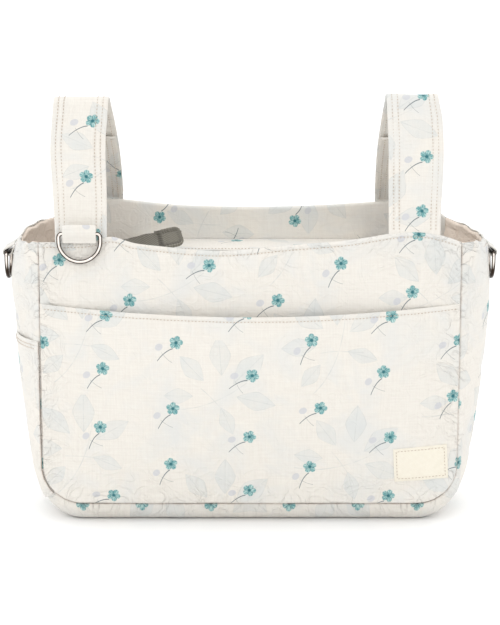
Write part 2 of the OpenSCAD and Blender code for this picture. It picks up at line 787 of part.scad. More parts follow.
// ---------------------------------------------------------------- rings and their tabs

wire_r = wire_d / 2;
bend_r = 2.5;                     // where the bar turns into the bow
bow_r = (ring_w - wire_d) / 2;    // radius of the round part
ring_side = ring_h - wire_d - bend_r - bow_r;
slot_r = wire_r + ply_gap;        // room for the bar inside its tab

// A D-ring: its bar lies along X through the origin, and its bow hangs down
module d_ring() {
    rotate([0, 90, 0]) cylinder(r = wire_r, h = 2 * (bow_r - bend_r), center = true);
    for (s = [-1, 1]) scale([s, 1, 1]) {
        translate([bow_r - bend_r, 0, -bend_r]) rotate([90, 0, 0])
            rotate_extrude(angle = 90) translate([bend_r, 0]) circle(r = wire_r);
        translate([bow_r, 0, -bend_r - ring_side]) cylinder(r = wire_r, h = ring_side);
    }
    translate([0, 0, -bend_r - ring_side]) rotate([90, 0, 0]) rotate([0, 0, 180])
        rotate_extrude(angle = 180) translate([bow_r, 0]) circle(r = wire_r);
}

// Front tab: a loop that stands up from the hem in front of the left strap
loop_r = slot_r + tab_t;
front_bar = [-left_strap_x, -half_d + 0.5 - loop_r, front_hem(-left_strap_x) + tab_rise / 2 + 0.6];
module front_ring_tab() {
    room = tab_rise / 2 - loop_r;
    root = front_bar[2] - front_hem(-left_strap_x) - rest_gap;
    color(strap_cloth) translate(front_bar) rotate([90, 0, 90])
        linear_extrude(tab_w, center = true) difference() {
            union() {
                stadium(loop_r, room);
                translate([slot_r, -root]) square([tab_t, root]);
            }
            stadium(slot_r, room);
        }
}
// A slot shape: round below the origin and round above its other end
module stadium(r, rise) {
    circle(r = r);
    translate([-r, 0]) square([2 * r, rise]);
    translate([0, rise]) circle(r = r);
}

module front_d_ring() {
    color(nickel) translate(front_bar) d_ring();
}

// Side tabs: a loop sewn to the gusset just under its hem, hanging out and down
side_root = [half_w + side_out(body_h - gusset_dip - 8) + rest_gap, body_h - gusset_dip - 5];
side_bar = [side_root[0] + side_reach, body_h - gusset_dip - side_hang];
module side_ring_tab(s) {
    v = side_bar - side_root;
    color(strap_cloth) scale([s, 1, 1]) translate([0, tab_w / 2, 0]) rotate([90, 0, 0])
        linear_extrude(tab_w) difference() {
            union() {
                translate(side_bar) circle(r = slot_r + tab_t);
                translate(side_root) rotate(angle_of(v)) translate([0, -0.3 * tab_t])
                    square([norm(v), 2 * tab_t]);
                translate(side_root - [0, 3]) square([tab_t, 6]);
            }
            translate(side_bar) circle(r = slot_r);
        }
}
module side_ring(s) {
    color(nickel) translate([s * side_bar[0], 0, side_bar[1]]) rotate([0, 0, 90]) d_ring();
}

// ---------------------------------------------------------------- the nodes

front_panel();
back_panel();
gusset();
front_pocket();
side_pocket();
label_patch();
front_wadding();
back_wadding();
gusset_wadding();
front_lining();
back_lining();
gusset_lining();
base_board();
front_facing();
back_facing();
front_zip_flap();
back_zip_flap();
zip_tape_front();
zip_tape_back();
zip_teeth_front();
zip_teeth_back();
zip_bottom_stop();
zip_tail();
zip_end_tab();
zip_slider();
zip_pull();
strap_front(-1);  // left_strap_front
strap_flap(-1);  // left_strap_flap
strap_back(-1);  // left_strap_back
loop_tape(-1);  // left_loop_tape
hook_tape(-1);  // left_hook_tape
strap_front(1);  // right_strap_front
strap_flap(1);  // right_strap_flap
strap_back(1);  // right_strap_back
loop_tape(1);  // right_loop_tape
hook_tape(1);  // right_hook_tape
front_ring_tab();
front_d_ring();
side_ring_tab(-1);  // left_ring_tab
side_ring(-1);  // left_d_ring
side_ring_tab(1);  // right_ring_tab
side_ring(1);  // right_d_ring
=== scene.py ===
import math
from functools import partial

import bpy
import numpy as np
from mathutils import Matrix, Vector


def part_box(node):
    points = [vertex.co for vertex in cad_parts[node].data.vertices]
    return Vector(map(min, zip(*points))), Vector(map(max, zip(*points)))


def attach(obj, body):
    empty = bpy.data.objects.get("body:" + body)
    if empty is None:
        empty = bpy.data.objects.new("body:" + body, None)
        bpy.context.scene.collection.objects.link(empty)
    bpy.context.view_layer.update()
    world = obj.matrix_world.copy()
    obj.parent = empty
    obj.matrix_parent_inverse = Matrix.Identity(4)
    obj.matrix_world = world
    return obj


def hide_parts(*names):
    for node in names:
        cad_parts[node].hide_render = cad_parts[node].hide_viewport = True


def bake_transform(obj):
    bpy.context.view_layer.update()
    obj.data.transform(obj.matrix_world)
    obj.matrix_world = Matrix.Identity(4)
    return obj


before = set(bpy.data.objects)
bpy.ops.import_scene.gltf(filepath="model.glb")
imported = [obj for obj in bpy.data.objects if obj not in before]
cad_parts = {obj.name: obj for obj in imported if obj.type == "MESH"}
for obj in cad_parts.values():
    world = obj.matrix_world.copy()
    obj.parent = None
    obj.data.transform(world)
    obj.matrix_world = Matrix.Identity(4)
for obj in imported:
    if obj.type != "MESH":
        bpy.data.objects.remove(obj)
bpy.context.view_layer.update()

# ---- Front and back panels ----
# Two upright rectangles of printed cotton over wadding, with rounded lower corners. Their edges are
# drawn in where they are sewn to the gusset, and their hems roll over to meet the facings.
MM = 0.001
AXIS_X, AXIS_Y, AXIS_Z = np.eye(3)
FACES = ((-1, "front"), (1, "back"))
half_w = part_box("front_panel")[1].x / MM
seam_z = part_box("front_panel")[0].z / MM
half_d, body_h, corner_r = 60.0, 219.0, 30.0
corner_z = seam_z + corner_r
bag_middle = np.array([0, 0, 110.0])
left_x, right_x = (sum(end.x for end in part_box(name + "_strap_front")) / 2 / MM for name in ("left", "right"))
cloth_t = 1.0
hem_roll = 2.3
hem_row = 3.6  # from a hem down to its row of stitches
crease_reach, pull_reach = 0.45, 14.0  # how far a seam's shade and its gathers reach
# distances from a seam or an edge at which the grids have a line, so that they follow its valley
near_edge = np.array([0, 0.5, 1, 1.6, 2.4, 3.4, 4.8, 6.6, 9, 12, 16, 20.0])


def smooth(k):
    """0 below 0, 1 above 1, and 3k^2 - 2k^3 between."""
    k = np.clip(k, 0, 1)
    return k * k * (3 - 2 * k)


def bell(d, reach):
    """exp of minus the square of d over reach."""
    return np.exp(-(d / reach) ** 2)


def xyz(x, y, z):
    """Points from their three coordinates, stretched to one shape."""
    return np.stack(np.broadcast_arrays(x, y, z), -1)


def hem_z(side, x):
    """Height of a hem, which ends at body_h at both corners. The front one (side -1) dips left of the
    middle, rises 8 at the right strap, and 4.6 just beside the left strap, where the strap pulls the
    cloth into a fold. The back one (side 1) rises 8.5 in the middle, 15 at the straps, and up to 2.4
    more on the left."""
    if side < 0:
        lift = 8 * bell(x - right_x, 40) * (1 - (np.abs(x) / half_w) ** 16)
        return body_h - 6 * bell(x + 25, 50) + lift + 4.6 * bell(x + 103, 12)
    k = np.minimum(1.2, (x / right_x) ** 2)
    return body_h + (8.5 + 6.5 * k + 2.4 * smooth((-x - 50) / 70)) * (1 - (np.abs(x) / half_w) ** 8)


def panel_foot(x):
    """Height of the bottom seam: level, then a quarter circle up to the side seam."""
    over = np.maximum(0, np.abs(x) - (half_w - corner_r))
    return corner_z - np.sqrt(np.maximum(0, corner_r ** 2 - over ** 2))


def height_share(x, z, hem):
    """How far up the cloth z lies: 0 at the bottom seam and 1 at the hem."""
    return (z - panel_foot(x)) / (hem - panel_foot(x))


def seam_gap(x, z):
    """Distance from the panel's sewn outline: from the nearer straight side, or from the corner's arc."""
    inside = np.minimum(half_w - np.abs(x), z - seam_z)
    over, under = np.abs(x) - (half_w - corner_r), corner_z - z
    arc = corner_r - np.hypot(over, under)
    return np.maximum(0, np.where((over > 0) & (under > 0), arc, inside))


def undulation(a, b, phase):
    """Shallow soft folds: the sum of four crossed sine waves 40 to 130 mm long, about -1 to 1."""
    wave = np.sin(a / 21 + b / 47 + phase) + np.sin(b / 16 - a / 60 + 2.3 * phase)
    return 0.34 * (wave + 0.8 * np.sin((a + b) / 12 + phase) * np.sin(b / 19 + phase)
                   + 0.6 * np.sin(a / 7.5 - b / 31 + 3 * phase) * np.sin(a / 33 + phase))


def seam_draw(gap, along, phase=0.0):
    """Height of the cloth near a seam: a narrow fold 0.4 to 2.1 deep with a ridge beside it, then a
    swelling 6 mm off, gathered by the stitches into puckers about 8 mm apart."""
    depth = 1.25 + 0.5 * np.sin(along / 13 + phase) + 0.35 * np.sin(along / 5.1 + 2 * phase)
    valley = -depth * np.exp(-gap / 0.5) + 0.45 * (gap / 2.2) * np.exp(1 - gap / 2.2)
    swell = (gap / 6) * np.exp(1 - gap / 6)
    pucker = np.sin(along / 1.35 + 1.7 * np.sin(along / 17 + phase) + phase)
    return valley + swell * (0.35 + 0.5 * pucker * (0.55 + 0.45 * np.sin(along / 23 + phase)))


def settle(h):
    """Cloth over wadding: it lifts off by at most 2.2 and sinks in by at most 0.8."""
    return np.where(h > 0, 2.2 * np.tanh(h / 2.2), 0.8 * np.tanh(h / 0.8))


def normals(grid, toward=None):
    """Unit normals of a grid, from the cross product of its two central differences, turned as a whole
    to the side that 'toward' points to."""
    n = np.cross(np.gradient(grid, axis=0), np.gradient(grid, axis=1))
    n = n / np.maximum(np.linalg.norm(n, axis=-1, keepdims=True), 1e-9)
    return n if toward is None else n * np.sign((n * toward).sum())


def grid_quads(m, k):
    """Vertex numbers of a grid of m by k points, and its quads."""
    ids = np.arange(m * k).reshape(m, k)
    return ids, np.stack([ids[:-1, :-1], ids[1:, :-1], ids[1:, 1:], ids[:-1, 1:]], -1).reshape(-1, 4)


def new_piece(name, points, faces, *materials):
    """Makes a smooth-shaded mesh from points in mm and links it to the scene."""
    mesh = bpy.data.meshes.new(name)
    mesh.from_pydata((points * MM).reshape(-1, 3).tolist(), [], faces.tolist())
    mesh.polygons.foreach_set("use_smooth", np.ones(len(mesh.polygons), bool))
    for material in materials:
        mesh.materials.append(material)
    piece = bpy.data.objects.new(name, mesh)
    bpy.context.scene.collection.objects.link(piece)
    return piece


def slack(form, across, along, spare):
    """Cloth simulation of one ply that is cut larger than its place by the share 'spare' and is held
    along its sewn edges. Gives a function for its height over that form, in mm, at any place on it: a
    cubic B-spline, with weights 2/3 - d^2 + d^3/2 and (2 - d)^3/6, over the simulated grid."""
    frames = 20
    u, v = np.meshgrid(across, along, indexing="ij")
    rest = form(u, v)
    n = normals(rest, rest - bag_middle)
    height = np.zeros(u.shape)
    free = np.zeros(u.shape)
    free[1:-1, 1:-1] = 1
    start = rest + n * (0.5 * free * undulation(1.7 * u + 9, 1.7 * v, u[0, 0]))[..., None]
    ids, quads = grid_quads(*u.shape)
    sheet = new_piece("slack_ply", start, quads)
    mesh = sheet.data
    sheet.vertex_groups.new(name="sewn").add(ids[free == 0].tolist(), 1.0, "REPLACE")
    cloth = sheet.modifiers.new("cloth", "CLOTH")
    cloth.point_cache.frame_start, cloth.point_cache.frame_end = 1, frames
    cloth.collision_settings.use_collision = False
    set_cloth = cloth.settings
    set_cloth.vertex_group_mass = "sewn"
    set_cloth.quality, set_cloth.mass = 6, 0.12
    set_cloth.tension_stiffness = set_cloth.compression_stiffness = 18
    set_cloth.shear_stiffness, set_cloth.bending_stiffness = 6, 0.25
    set_cloth.shrink_min = -spare
    set_cloth.effector_weights.gravity = 0
    for step in range(1, frames + 1):
        bpy.context.scene.frame_set(step)
    moved = np.empty(u.size * 3)
    result = sheet.evaluated_get(bpy.context.evaluated_depsgraph_get()).to_mesh()
    result.vertices.foreach_get("co", moved)
    height = ((moved.reshape(rest.shape) / MM - rest) * n).sum(-1)
    bpy.data.objects.remove(sheet)
    bpy.data.meshes.remove(mesh)
    bpy.context.scene.frame_set(1)

    def over(a, b):
        i, j = np.interp(a, across, np.arange(len(across))), np.interp(b, along, np.arange(len(along)))
        total = 0.0
        for p in range(-1, 3):
            for q in range(-1, 3):
                near = height[np.clip(np.floor(i) + p, 0, len(across) - 1).astype(int),
                              np.clip(np.floor(j) + q, 0, len(along) - 1).astype(int)]
                for d in (np.abs(i - np.floor(i) - p), np.abs(j - np.floor(j) - q)):
                    near = near * np.where(d < 1, 2 / 3 - d ** 2 + d ** 3 / 2,
                                           np.clip(2 - d, 0, 1) ** 3 / 6)
                total = total + near
        return total
    return over


def panel_out(side, x, z, dressed=True):
    """How far a panel's outer face lies outside its seam plane: it bows by 9 in front and 6 behind
    times (1 - (x / half width)^2) times sin(180 v)^1.5, and the front one by up to 3 more at its hem.
    A dressed one has its creases, seams and the dent of its row of stitches too."""
    hem = hem_z(side, x)
    share = height_share(x, z, hem)
    out = (9 if side < 0 else 6) * (1 - (x / half_w) ** 2) * np.sin(np.pi * np.clip(share, 0, 1)) ** 1.5
    if side < 0:
        v = np.clip((z - seam_z) / (hem - seam_z), 0, 1)
        out = out + 3 * np.maximum(0, 1 - (x / (right_x - 26)) ** 2) ** 2 * v ** 4
    if dressed:
        gap = seam_gap(x, z)
        fade = smooth(gap / 18) * smooth((hem - z) / 14)
        out = out + settle(0.6 * fade * undulation(x, z, 1 + side) + panel_slack[side](x, share))
        out = out + seam_draw(gap, x + z, side) - 0.45 * bell(hem - z - hem_row, 0.8)
    return out


def panel_form(side, x, k):
    """Points of a panel without its creases: k runs from 0 at the bottom seam to 1 at the hem."""
    z = panel_foot(x) + k * (hem_z(side, x) - panel_foot(x))
    return xyz(x, side * (half_d + panel_out(side, x, z, False)), z)


panel_slack = {side: slack(partial(panel_form, side), np.linspace(-half_w + 2, half_w - 2, 71),
                           np.linspace(0.01, 0.985, 45), 0.012) for side in (-1, 1)}


def columns(inset=0.0):
    """Places across a panel: crowded at both side seams and 3.4 apart between them."""
    half = half_w - inset
    inner = np.linspace(-half + near_edge[-1], half - near_edge[-1], int((2 * half - 40) / 3.4))
    return np.concatenate([-half + near_edge[:-1], inner, half - near_edge[:-1][::-1]])


def upright(low, high, pitch=3.4):
    """Rows from low to high for every column: crowded just above low and just below high."""
    near_hem = np.array([5, 4, 3.2, 2.6, 2.0, 1.4, 0.9, 0.4, 0])
    k = np.linspace(0, 1, int(np.max(high - low) / pitch))[None, :]
    start, stop = (low + near_edge[-1])[:, None], high[:, None] - near_hem[0]
    even = start + (stop - start) * k
    return np.concatenate([low[:, None] + near_edge[None, :-1], even, high[:, None] - near_hem[1:]], axis=1)


def roll_over(grid, inward, radius, sweep=90, steps=6):
    """Adds a rolled edge: the last row is carried round a circle of that radius, up and inward."""
    a = np.radians(np.linspace(0, sweep, steps)[1:])[None, :, None]
    turn = np.broadcast_to(inward, grid[:, -1].shape)[:, None, :]
    rolled = grid[:, -1:] + turn * radius * (1 - np.cos(a)) + AXIS_Z * radius * np.sin(a)
    return np.concatenate([grid, rolled], axis=1)


def ply(name, face, thickness, uv, material, back=None, crease=0.0, pull=0.0):
    """Closed solid of one ply of cloth: the seen face, the same grid moved back along its normals (to
    the side that 'back' points to), and a rim. uv is the place on the roll of cloth in mm, shifted so
    that the print falls differently on each piece. crease, 0 to 1, marks where the ply is pressed
    into a seam, where the cloth's material paints shade; pull marks where a seam gathers it."""
    under = face + normals(face, back) * thickness
    m, k = face.shape[:2]
    ids, quads = grid_quads(m, k)
    edge = np.concatenate([ids[:, 0], ids[-1, 1:], ids[-2::-1, -1], ids[0, -2:0:-1]])
    after = np.roll(edge, -1)
    rim = np.stack([after, edge, edge + m * k, after + m * k], -1)
    faces = np.concatenate([quads, quads[:, ::-1] + m * k, rim])
    a, b = face[m // 2, k // 2], under[m // 2, k // 2]
    cross = np.cross(face[m // 2 + 1, k // 2] - a, face[m // 2, k // 2 + 1] - a)
    if np.dot(cross, a - b) < 0:
        faces = faces[:, ::-1]
    piece = new_piece(name, np.stack([face, under]), faces, material)
    mesh = piece.data
    corner = np.empty(len(mesh.loops), np.int32)
    mesh.loops.foreach_get("vertex_index", corner)
    flat = np.stack(np.broadcast_arrays(*uv), -1).reshape(-1, 2) * MM
    layer = mesh.uv_layers.new(name="cloth")
    layer.data.foreach_set("uv", np.concatenate([flat, flat])[corner].ravel())
    for mark, amount in (("crease", crease), ("pull", pull)):
        values = np.tile(np.broadcast_to(amount, (m, k)).ravel().astype(np.float32), 2)
        mesh.attributes.new(mark, "FLOAT", "POINT").data.foreach_set("value", values)
    mesh.set_sharp_from_angle(angle=math.radians(50))
    return piece


def fit(piece, body, slot, *nodes):
    """Puts a piece on its body, in place of the plain solids it stands for. slot is not used."""
    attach(piece, body)
    if nodes:
        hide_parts(*nodes)


def linear(hex_colour):
    """An sRGB hex colour as linear RGBA."""
    c = [int(hex_colour[i:i + 2], 16) / 255 for i in (1, 3, 5)]
    return [v / 12.92 if v <= 0.04045 else ((v + 0.055) / 1.055) ** 2.4 for v in c] + [1]


def add_node(tree, kind, *inputs, out=0, **named):
    """Adds a node; the second word of kind is its operation or data type. Inputs are set, from a hex
    colour too, or linked by place. Of the keywords, those with a capital name inputs and the others
    are settings. Gives the output 'out'."""
    kind, *choice = kind.split()
    node = tree.nodes.new("ShaderNode" + kind)
    if choice:
        setattr(node, "data_type" if kind == "Mix" else "operation", choice[0])
    for key, value in named.items():
        if key.islower():
            setattr(node, key, value)
    pairs = list(zip([socket for socket in node.inputs if socket.enabled], inputs))
    pairs += [(node.inputs[key.replace("_", " ")], named[key]) for key in named if not key.islower()]
    for socket, value in pairs:
        if isinstance(value, bpy.types.NodeSocket):
            tree.links.new(value, socket)
        elif value is not None:
            socket.default_value = linear(value) if isinstance(value, str) else value
    return node.outputs[out] if isinstance(out, str) else [s for s in node.outputs if s.enabled][out]


def new_material(name, surface, **gloss):
    """A material: surface(node) gives its colour and its normal, where node adds a node to it, and
    gloss is set on the shader."""
    material = bpy.data.materials.new(name)
    material.use_nodes = True
    tree = material.node_tree
    tree.nodes.clear()
    node = partial(add_node, tree)
    colour, normal = surface(node)
    shader = node("BsdfPrincipled", colour, Normal=normal, **gloss)
    tree.links.new(shader, tree.nodes.new("ShaderNodeOutputMaterial").inputs[0])
    return material


def place_on_cloth(node):
    """The place on the cloth in mm."""
    return node("VectorMath MULTIPLY", node("UVMap", uv_map="cloth"), (1000, 1000, 1000))


def half_drop(node, cloth, across, down, swing, drift):
    """Repeats a motif: every other column is half a step lower. Gives the place inside the cell, in mm
    from its middle, turned by up to half of swing either way and shifted by up to drift."""
    x, y = node("SeparateXYZ", cloth, out=slice(2))
    x = node("Math DIVIDE", x, across)
    column = node("Math FLOOR", x)
    odd = node("Math FLOORED_MODULO", column, 2.0)
    y = node("Math MULTIPLY_ADD", odd, 0.5, node("Math DIVIDE", y, down))
    row = node("Math FLOOR", y)
    cell = node("CombineXYZ", column, row, 0.37)
    turn, shift = node("TexWhiteNoise", cell, noise_dimensions="3D", out=slice(2))
    place = node("CombineXYZ", node("Math SUBTRACT", x, column), node("Math SUBTRACT", y, row))
    place = node("VectorMath ADD", place, (-0.5, -0.5, 0))
    place = node("VectorMath MULTIPLY", place, (across, down, 0))
    shift = node("VectorMath ADD", shift, (-0.5, -0.5, -0.5))
    shift = node("VectorMath MULTIPLY", shift, (2 * drift, 2 * drift, 0))
    place = node("VectorMath SUBTRACT", place, shift)
    angle = node("Math MULTIPLY", node("Math ADD", turn, -0.5), swing)
    return node("VectorRotate", rotation_type="Z_AXIS", Vector=place, Angle=angle)


def brush_line(node, place, bend, slope, start, low, high, width):
    """A thin curved line y = bend x^2 + slope x + start from x = low to x = high: 1 on it, 0 off it."""
    x, y = node("SeparateXYZ", place, out=slice(2))
    course = node("Math MULTIPLY_ADD", x, bend, slope)
    course = node("Math MULTIPLY_ADD", x, course, start)
    off = node("Math ABSOLUTE", node("Math SUBTRACT", y, course))
    on = node("MapRange", off, width, width * 0.5, 0.0, 1.0)
    within = node("Math COMPARE", x, (low + high) / 2, (high - low) / 2)
    return node("Math MULTIPLY", on, within)


def leaf_spray(node, place):
    """A faint spray: six pointed ovals along two crossing stems. Gives its wash and its lines, 0 to 1."""
    wash, lines = 0.0, 0.0
    leaves = ((24, 22, 50, 32, 17), (2, 30, 100, 30, 16), (32, -2, -8, 30, 15), (-18, 18, 140, 26, 14),
              (12, -20, -62, 24, 12), (-26, -4, 186, 22, 12))
    for x, y, turn, length, width in leaves:
        spot = node("Mapping", place, (x, y, 0), (0, 0, math.radians(turn)), (length / 2, width / 2, 1),
                    vector_type="TEXTURE")
        along, aside = node("SeparateXYZ", spot, out=slice(2))
        ends = node("Math POWER", node("Math ABSOLUTE", along), 1.5)
        r = node("Math ADD", node("Math ABSOLUTE", aside), ends)
        inside = node("MapRange", r, 1.0, 0.9, 0.0, 1.0)
        rim = node("Math COMPARE", r, 0.97, 0.045)
        rib = node("Math MULTIPLY", node("Math COMPARE", aside, 0.0, 0.045), inside)
        wash = node("Math MAXIMUM", wash, inside)
        lines = node("Math MAXIMUM", node("Math MAXIMUM", lines, rim), rib)
    for bend, slope, start, low, high in ((0.008, 0.55, -6, -34, 24), (-0.012, -0.9, -4, -10, 14)):
        stem = brush_line(node, place, bend, slope, start, low, high, 0.55)
        lines = node("Math MAXIMUM", lines, stem)
    return wash, lines


def blossom_head(node, place, cloth):
    """Five round petals, r = 2.9 + 2.3 |cos(2.5 a)|^0.45, with a dark eye, dark notches and fine veins.
    Gives where it is, 0 to 1, and its colour."""
    head = node("VectorMath ADD", place, (-5.2, -4.2, 0))
    x, y = node("SeparateXYZ", head, out=slice(2))
    turn = node("Math ARCTAN2", y, x)
    r = node("VectorMath LENGTH", head)
    petal = node("Math ABSOLUTE", node("Math COSINE", node("Math MULTIPLY", turn, 2.5)))
    reach = node("Math MULTIPLY_ADD", node("Math POWER", petal, 0.45), 2.3, 2.9)
    inside = node("MapRange", node("Math SUBTRACT", reach, r), -0.15, 0.3, 0.0, 1.0)
    vein = node("Math SINE", node("Math MULTIPLY", turn, 15.0))
    vein = node("MapRange", vein, 0.55, 1.0, 0.0, 0.8)
    notch = node("MapRange", petal, 0.0, 0.35, 1.0, 0.0)
    eye = node("MapRange", r, 0.9, 1.8, 1.0, 0.0)
    dark = node("Math MAXIMUM", node("Math MAXIMUM", vein, notch), eye)
    stain = node("TexNoise", cloth, Scale=0.35, Detail=3.0)
    stain = node("MapRange", stain, 0.35, 0.65, 0.0, 1.0)
    teal = node("Mix RGBA", stain, "#b6d2ce", "#6ba1a3")
    return inside, node("Mix RGBA", dark, teal, "#366f76")


def printed_cotton(node):
    """Plain-woven cotton, reactive-printed and left matt: the ground is off-white with faint slubs,
    the motifs soak in with no edge of their own. It reads as a chalky surface with a soft sheen at
    grazing angles. Threads are about 0.4 mm; they are drawn at 0.9 mm so that they show."""
    cloth = place_on_cloth(node)
    slub = [node("TexNoise", node("Mapping", cloth, Scale=way), Scale=1.0, Detail=3.0)
            for way in ((0.05, 0.9, 1), (0.9, 0.05, 1))]
    slub = node("MapRange", node("Math ADD", *slub), 0.75, 1.25, 0.0, 1.0)
    # cool washes 30 to 60 mm wide, printed under the sprays
    pool = node("TexNoise", cloth, Scale=0.022, Detail=4.0, Roughness=0.55, Distortion=0.6)
    pool = node("MapRange", pool, 0.46, 0.68, 0.0, 0.75)
    # faint sprays
    wash, lines = leaf_spray(node, half_drop(node, cloth, 96, 88, 1.6, 7))
    cloud = node("TexNoise", cloth, Scale=0.06, Detail=2.0)
    wash = node("Math MULTIPLY", node("Math MULTIPLY", wash, cloud), 0.75)
    broken = node("TexNoise", cloth, Scale=0.16, Detail=3.0)
    broken = node("MapRange", broken, 0.35, 0.65, 0.12, 0.6)
    lines = node("Math MULTIPLY", lines, broken)
    # small blossoms: a five-petalled head, its stem, a twig and a pale bud
    place = half_drop(node, cloth, 53, 47, 0.9, 4.5)
    stem = brush_line(node, place, -0.045, 0.45, -1.0, -9.5, 2.5, 0.5)
    twig = brush_line(node, place, 0.06, -0.75, -9.5, -6.0, 1.5, 0.34)
    stalk = node("Math MAXIMUM", stem, node("Math MULTIPLY", twig, 0.5))
    bud = node("Mapping", place, (-7.8, 1.2, 0), (0, 0, 0.5), (3.4, 2.7, 1), vector_type="TEXTURE")
    bud = node("MapRange", node("VectorMath LENGTH", bud), 1.0, 0.8, 0.0, 0.8)
    petals, teal = blossom_head(node, place, cloth)
    # painted shade: the cloth is painted darker in the fold of a seam, where shade falls
    painted_crease_shade = node("MapRange", broken, 0.12, 0.6, 0.3, 0.62)
    painted_crease_shade = node("Math MULTIPLY", node("Attribute", attribute_name="crease", out="Fac"), painted_crease_shade)
    colour = "#ded9d1"
    for share, tint in ((slub, "#e4e0d8"), (pool, "#d7d8d6"), (wash, "#cacfcf"), (lines, "#c4c6c3"),
                        (stalk, "#6f7a7c"), (bud, "#c6c7cb"), (petals, teal), (painted_crease_shade, "#9a8373")):
        colour = node("Mix RGBA", share, colour, tint)
    # threads and soft creases
    threads = [node("TexWave", cloth, bands_direction=way, Scale=0.35, Distortion=0.6, Detail=1.0,
                    out="Fac") for way in "XY"]
    relief = node("Bump", Strength=0.35, Distance=0.0001, Height=node("Math ADD", *threads))
    crease = node("TexNoise", cloth, Scale=0.045, Detail=2.5)
    relief = node("Bump", Strength=0.5, Distance=0.0012, Height=crease, Normal=relief)
    # creases: narrow ridges where a cloudy noise passes its middle, stronger where a seam gathers
    wrinkle = node("TexNoise", cloth, Scale=0.055, Detail=2.5, Distortion=1.6)
    wrinkle = node("Math ABSOLUTE", node("Math ADD", wrinkle, -0.5))
    wrinkle = node("MapRange", wrinkle, 0.0, 0.09, 1.0, 0.0, interpolation_type="SMOOTHSTEP")
    gather = node("Attribute", attribute_name="pull", out="Fac")
    gather = node("Math MULTIPLY_ADD", gather, 0.8, 0.16)
    wrinkle = node("Math MULTIPLY", wrinkle, gather)
    return colour, node("Bump", Strength=0.9, Distance=0.0009, Height=wrinkle, Normal=relief)


print_cloth = new_material("printed_plain_weave_cotton", printed_cotton, Roughness=0.88,
                           Specular_IOR_Level=0.25, Sheen_Weight=0.15, Sheen_Roughness=0.5)
for side, name in FACES:
    x = columns()
    hem = hem_z(side, x)[:, None]
    z = upright(panel_foot(x), hem[:, 0] - hem_roll)
    x = x[:, None]
    grid = xyz(x, side * (half_d + panel_out(side, x, z)), z)
    grid = roll_over(grid, -side * AXIS_Y, hem_roll)
    gap = seam_gap(grid[..., 0], grid[..., 2])
    # crease sets where painted shade darkens the cloth along its seams
    panel = ply(name + "_panel_cloth", grid, cloth_t, (grid[..., 0] + 12, grid[..., 2] + 9 * side),
                print_cloth, back=-side * AXIS_Y, crease=bell(gap, crease_reach),
                pull=np.exp(-gap / pull_reach) + 0.6 * np.exp((grid[..., 2] - hem) / pull_reach))
    fit(panel, "bag", "print_cotton", name + "_panel")

# ---- Gusset ----
# One long strip of the same cloth, padded as the panels are, sewn to both: down the left side, under
# the floor and up the right side. It swells out between its seams.
side_z = body_h - corner_z
flat_s, arc_s = half_w - corner_r, corner_r * math.pi / 2
half_s = np.concatenate([np.linspace(0, flat_s, 32), flat_s + np.linspace(0, arc_s, 17)[1:],
                         flat_s + arc_s + np.linspace(0, side_z, 50)[1:]])
half_t = 1 - np.concatenate([near_edge, np.arange(22.5, 58, 3.2)]) / half_d


def top_lean(side, z):
    """How far the gusset's top leans in over the last 49, to the power 1.5: 3.9 left and 1.2 right."""
    return np.where(side < 0, 3.9, 1.2) * np.clip((z - 170) / 49, 0, 1) ** 1.5


def gusset_point(s, t, drop=0.0):
    """Outer face of the gusset. s runs along it from the middle of the floor, positive to the right:
    floor, quarter circle, side. t is -1 at the front seam and 1 at the back one. Across, the form is
    1 - t^2 on the sides, and 1 - ((|t| - 0.7) / 0.3)^2 past a flat middle on the floor. The sides
    swell by up to 27, at a height of 183; the left one gives way by 3.3 around 141."""
    sign, run = np.sign(s) + (s == 0), np.abs(s)
    widest = 183
    side_arch = 1 - t ** 2
    floor_arch = 1 - (np.maximum(0, np.abs(t) - 0.7) / 0.3) ** 2
    k = np.clip((run - flat_s - arc_s) / side_z, 0, 1)
    z_side = corner_z + (body_h - 5 * (1 - t ** 2) - drop - corner_z) * k
    rise = np.clip((z_side - corner_z) / (widest - corner_z), 0, 1)
    out = np.where(z_side < widest, 14 + 13 * np.sin(np.pi / 2 * rise),
                   27 - 3 * ((z_side - widest) / 36) ** 2)
    give = np.where(sign < 0, 3.3 * bell(z_side - 141, np.where(z_side < 141, 70, 28)), 0)
    out = out - give - top_lean(sign, z_side)
    a = np.pi / 2 * (1 - np.clip((run - flat_s) / arc_s, 0, 1))
    low = side_arch * np.where(sign < 0, 12.8, 14)
    r = corner_r + low + smooth(a / (np.pi / 2)) * (seam_z * floor_arch - low)
    x = np.where(run <= flat_s, run, np.where(run <= flat_s + arc_s, flat_s + r * np.cos(a),
                                              half_w + out * side_arch))
    z = np.where(run <= flat_s, seam_z * (1 - floor_arch),
                 np.where(run <= flat_s + arc_s, corner_z - r * np.sin(a), z_side))
    return xyz(sign * x, half_d * t, z)


gusset_slack = slack(gusset_point, np.linspace(-half_s[-1], half_s[-1], 141),
                     np.linspace(-0.97, 0.97, 27), 0.014)


def rumple(grid):
    """The gusset's hem isn't stretched: it waves up and down by 1.2 and in and out by 1, over the
    top 30 mm, and on the left its rear half is drawn 3 further in and stands 5 higher."""
    x, y, left = grid[..., 0], grid[..., 1], grid[..., 0] < 0
    fade = smooth((grid[..., 2] - 186) / 30) * smooth((half_d - np.abs(y)) / 12)
    up = 0.8 * np.sin(y / 6.3 + x / 90) + 0.5 * np.sin(y / 2.9 + 1) + 4.6 * bell(y - 35, 18) * left
    out = 0.7 * np.sin(y / 5.1 + 2 + x / 70) + 0.4 * np.sin(y / 2.3) - 3.4 * bell(y - 36, 19) * left
    return grid + xyz(out * np.sign(x), 0, up) * fade[..., None]


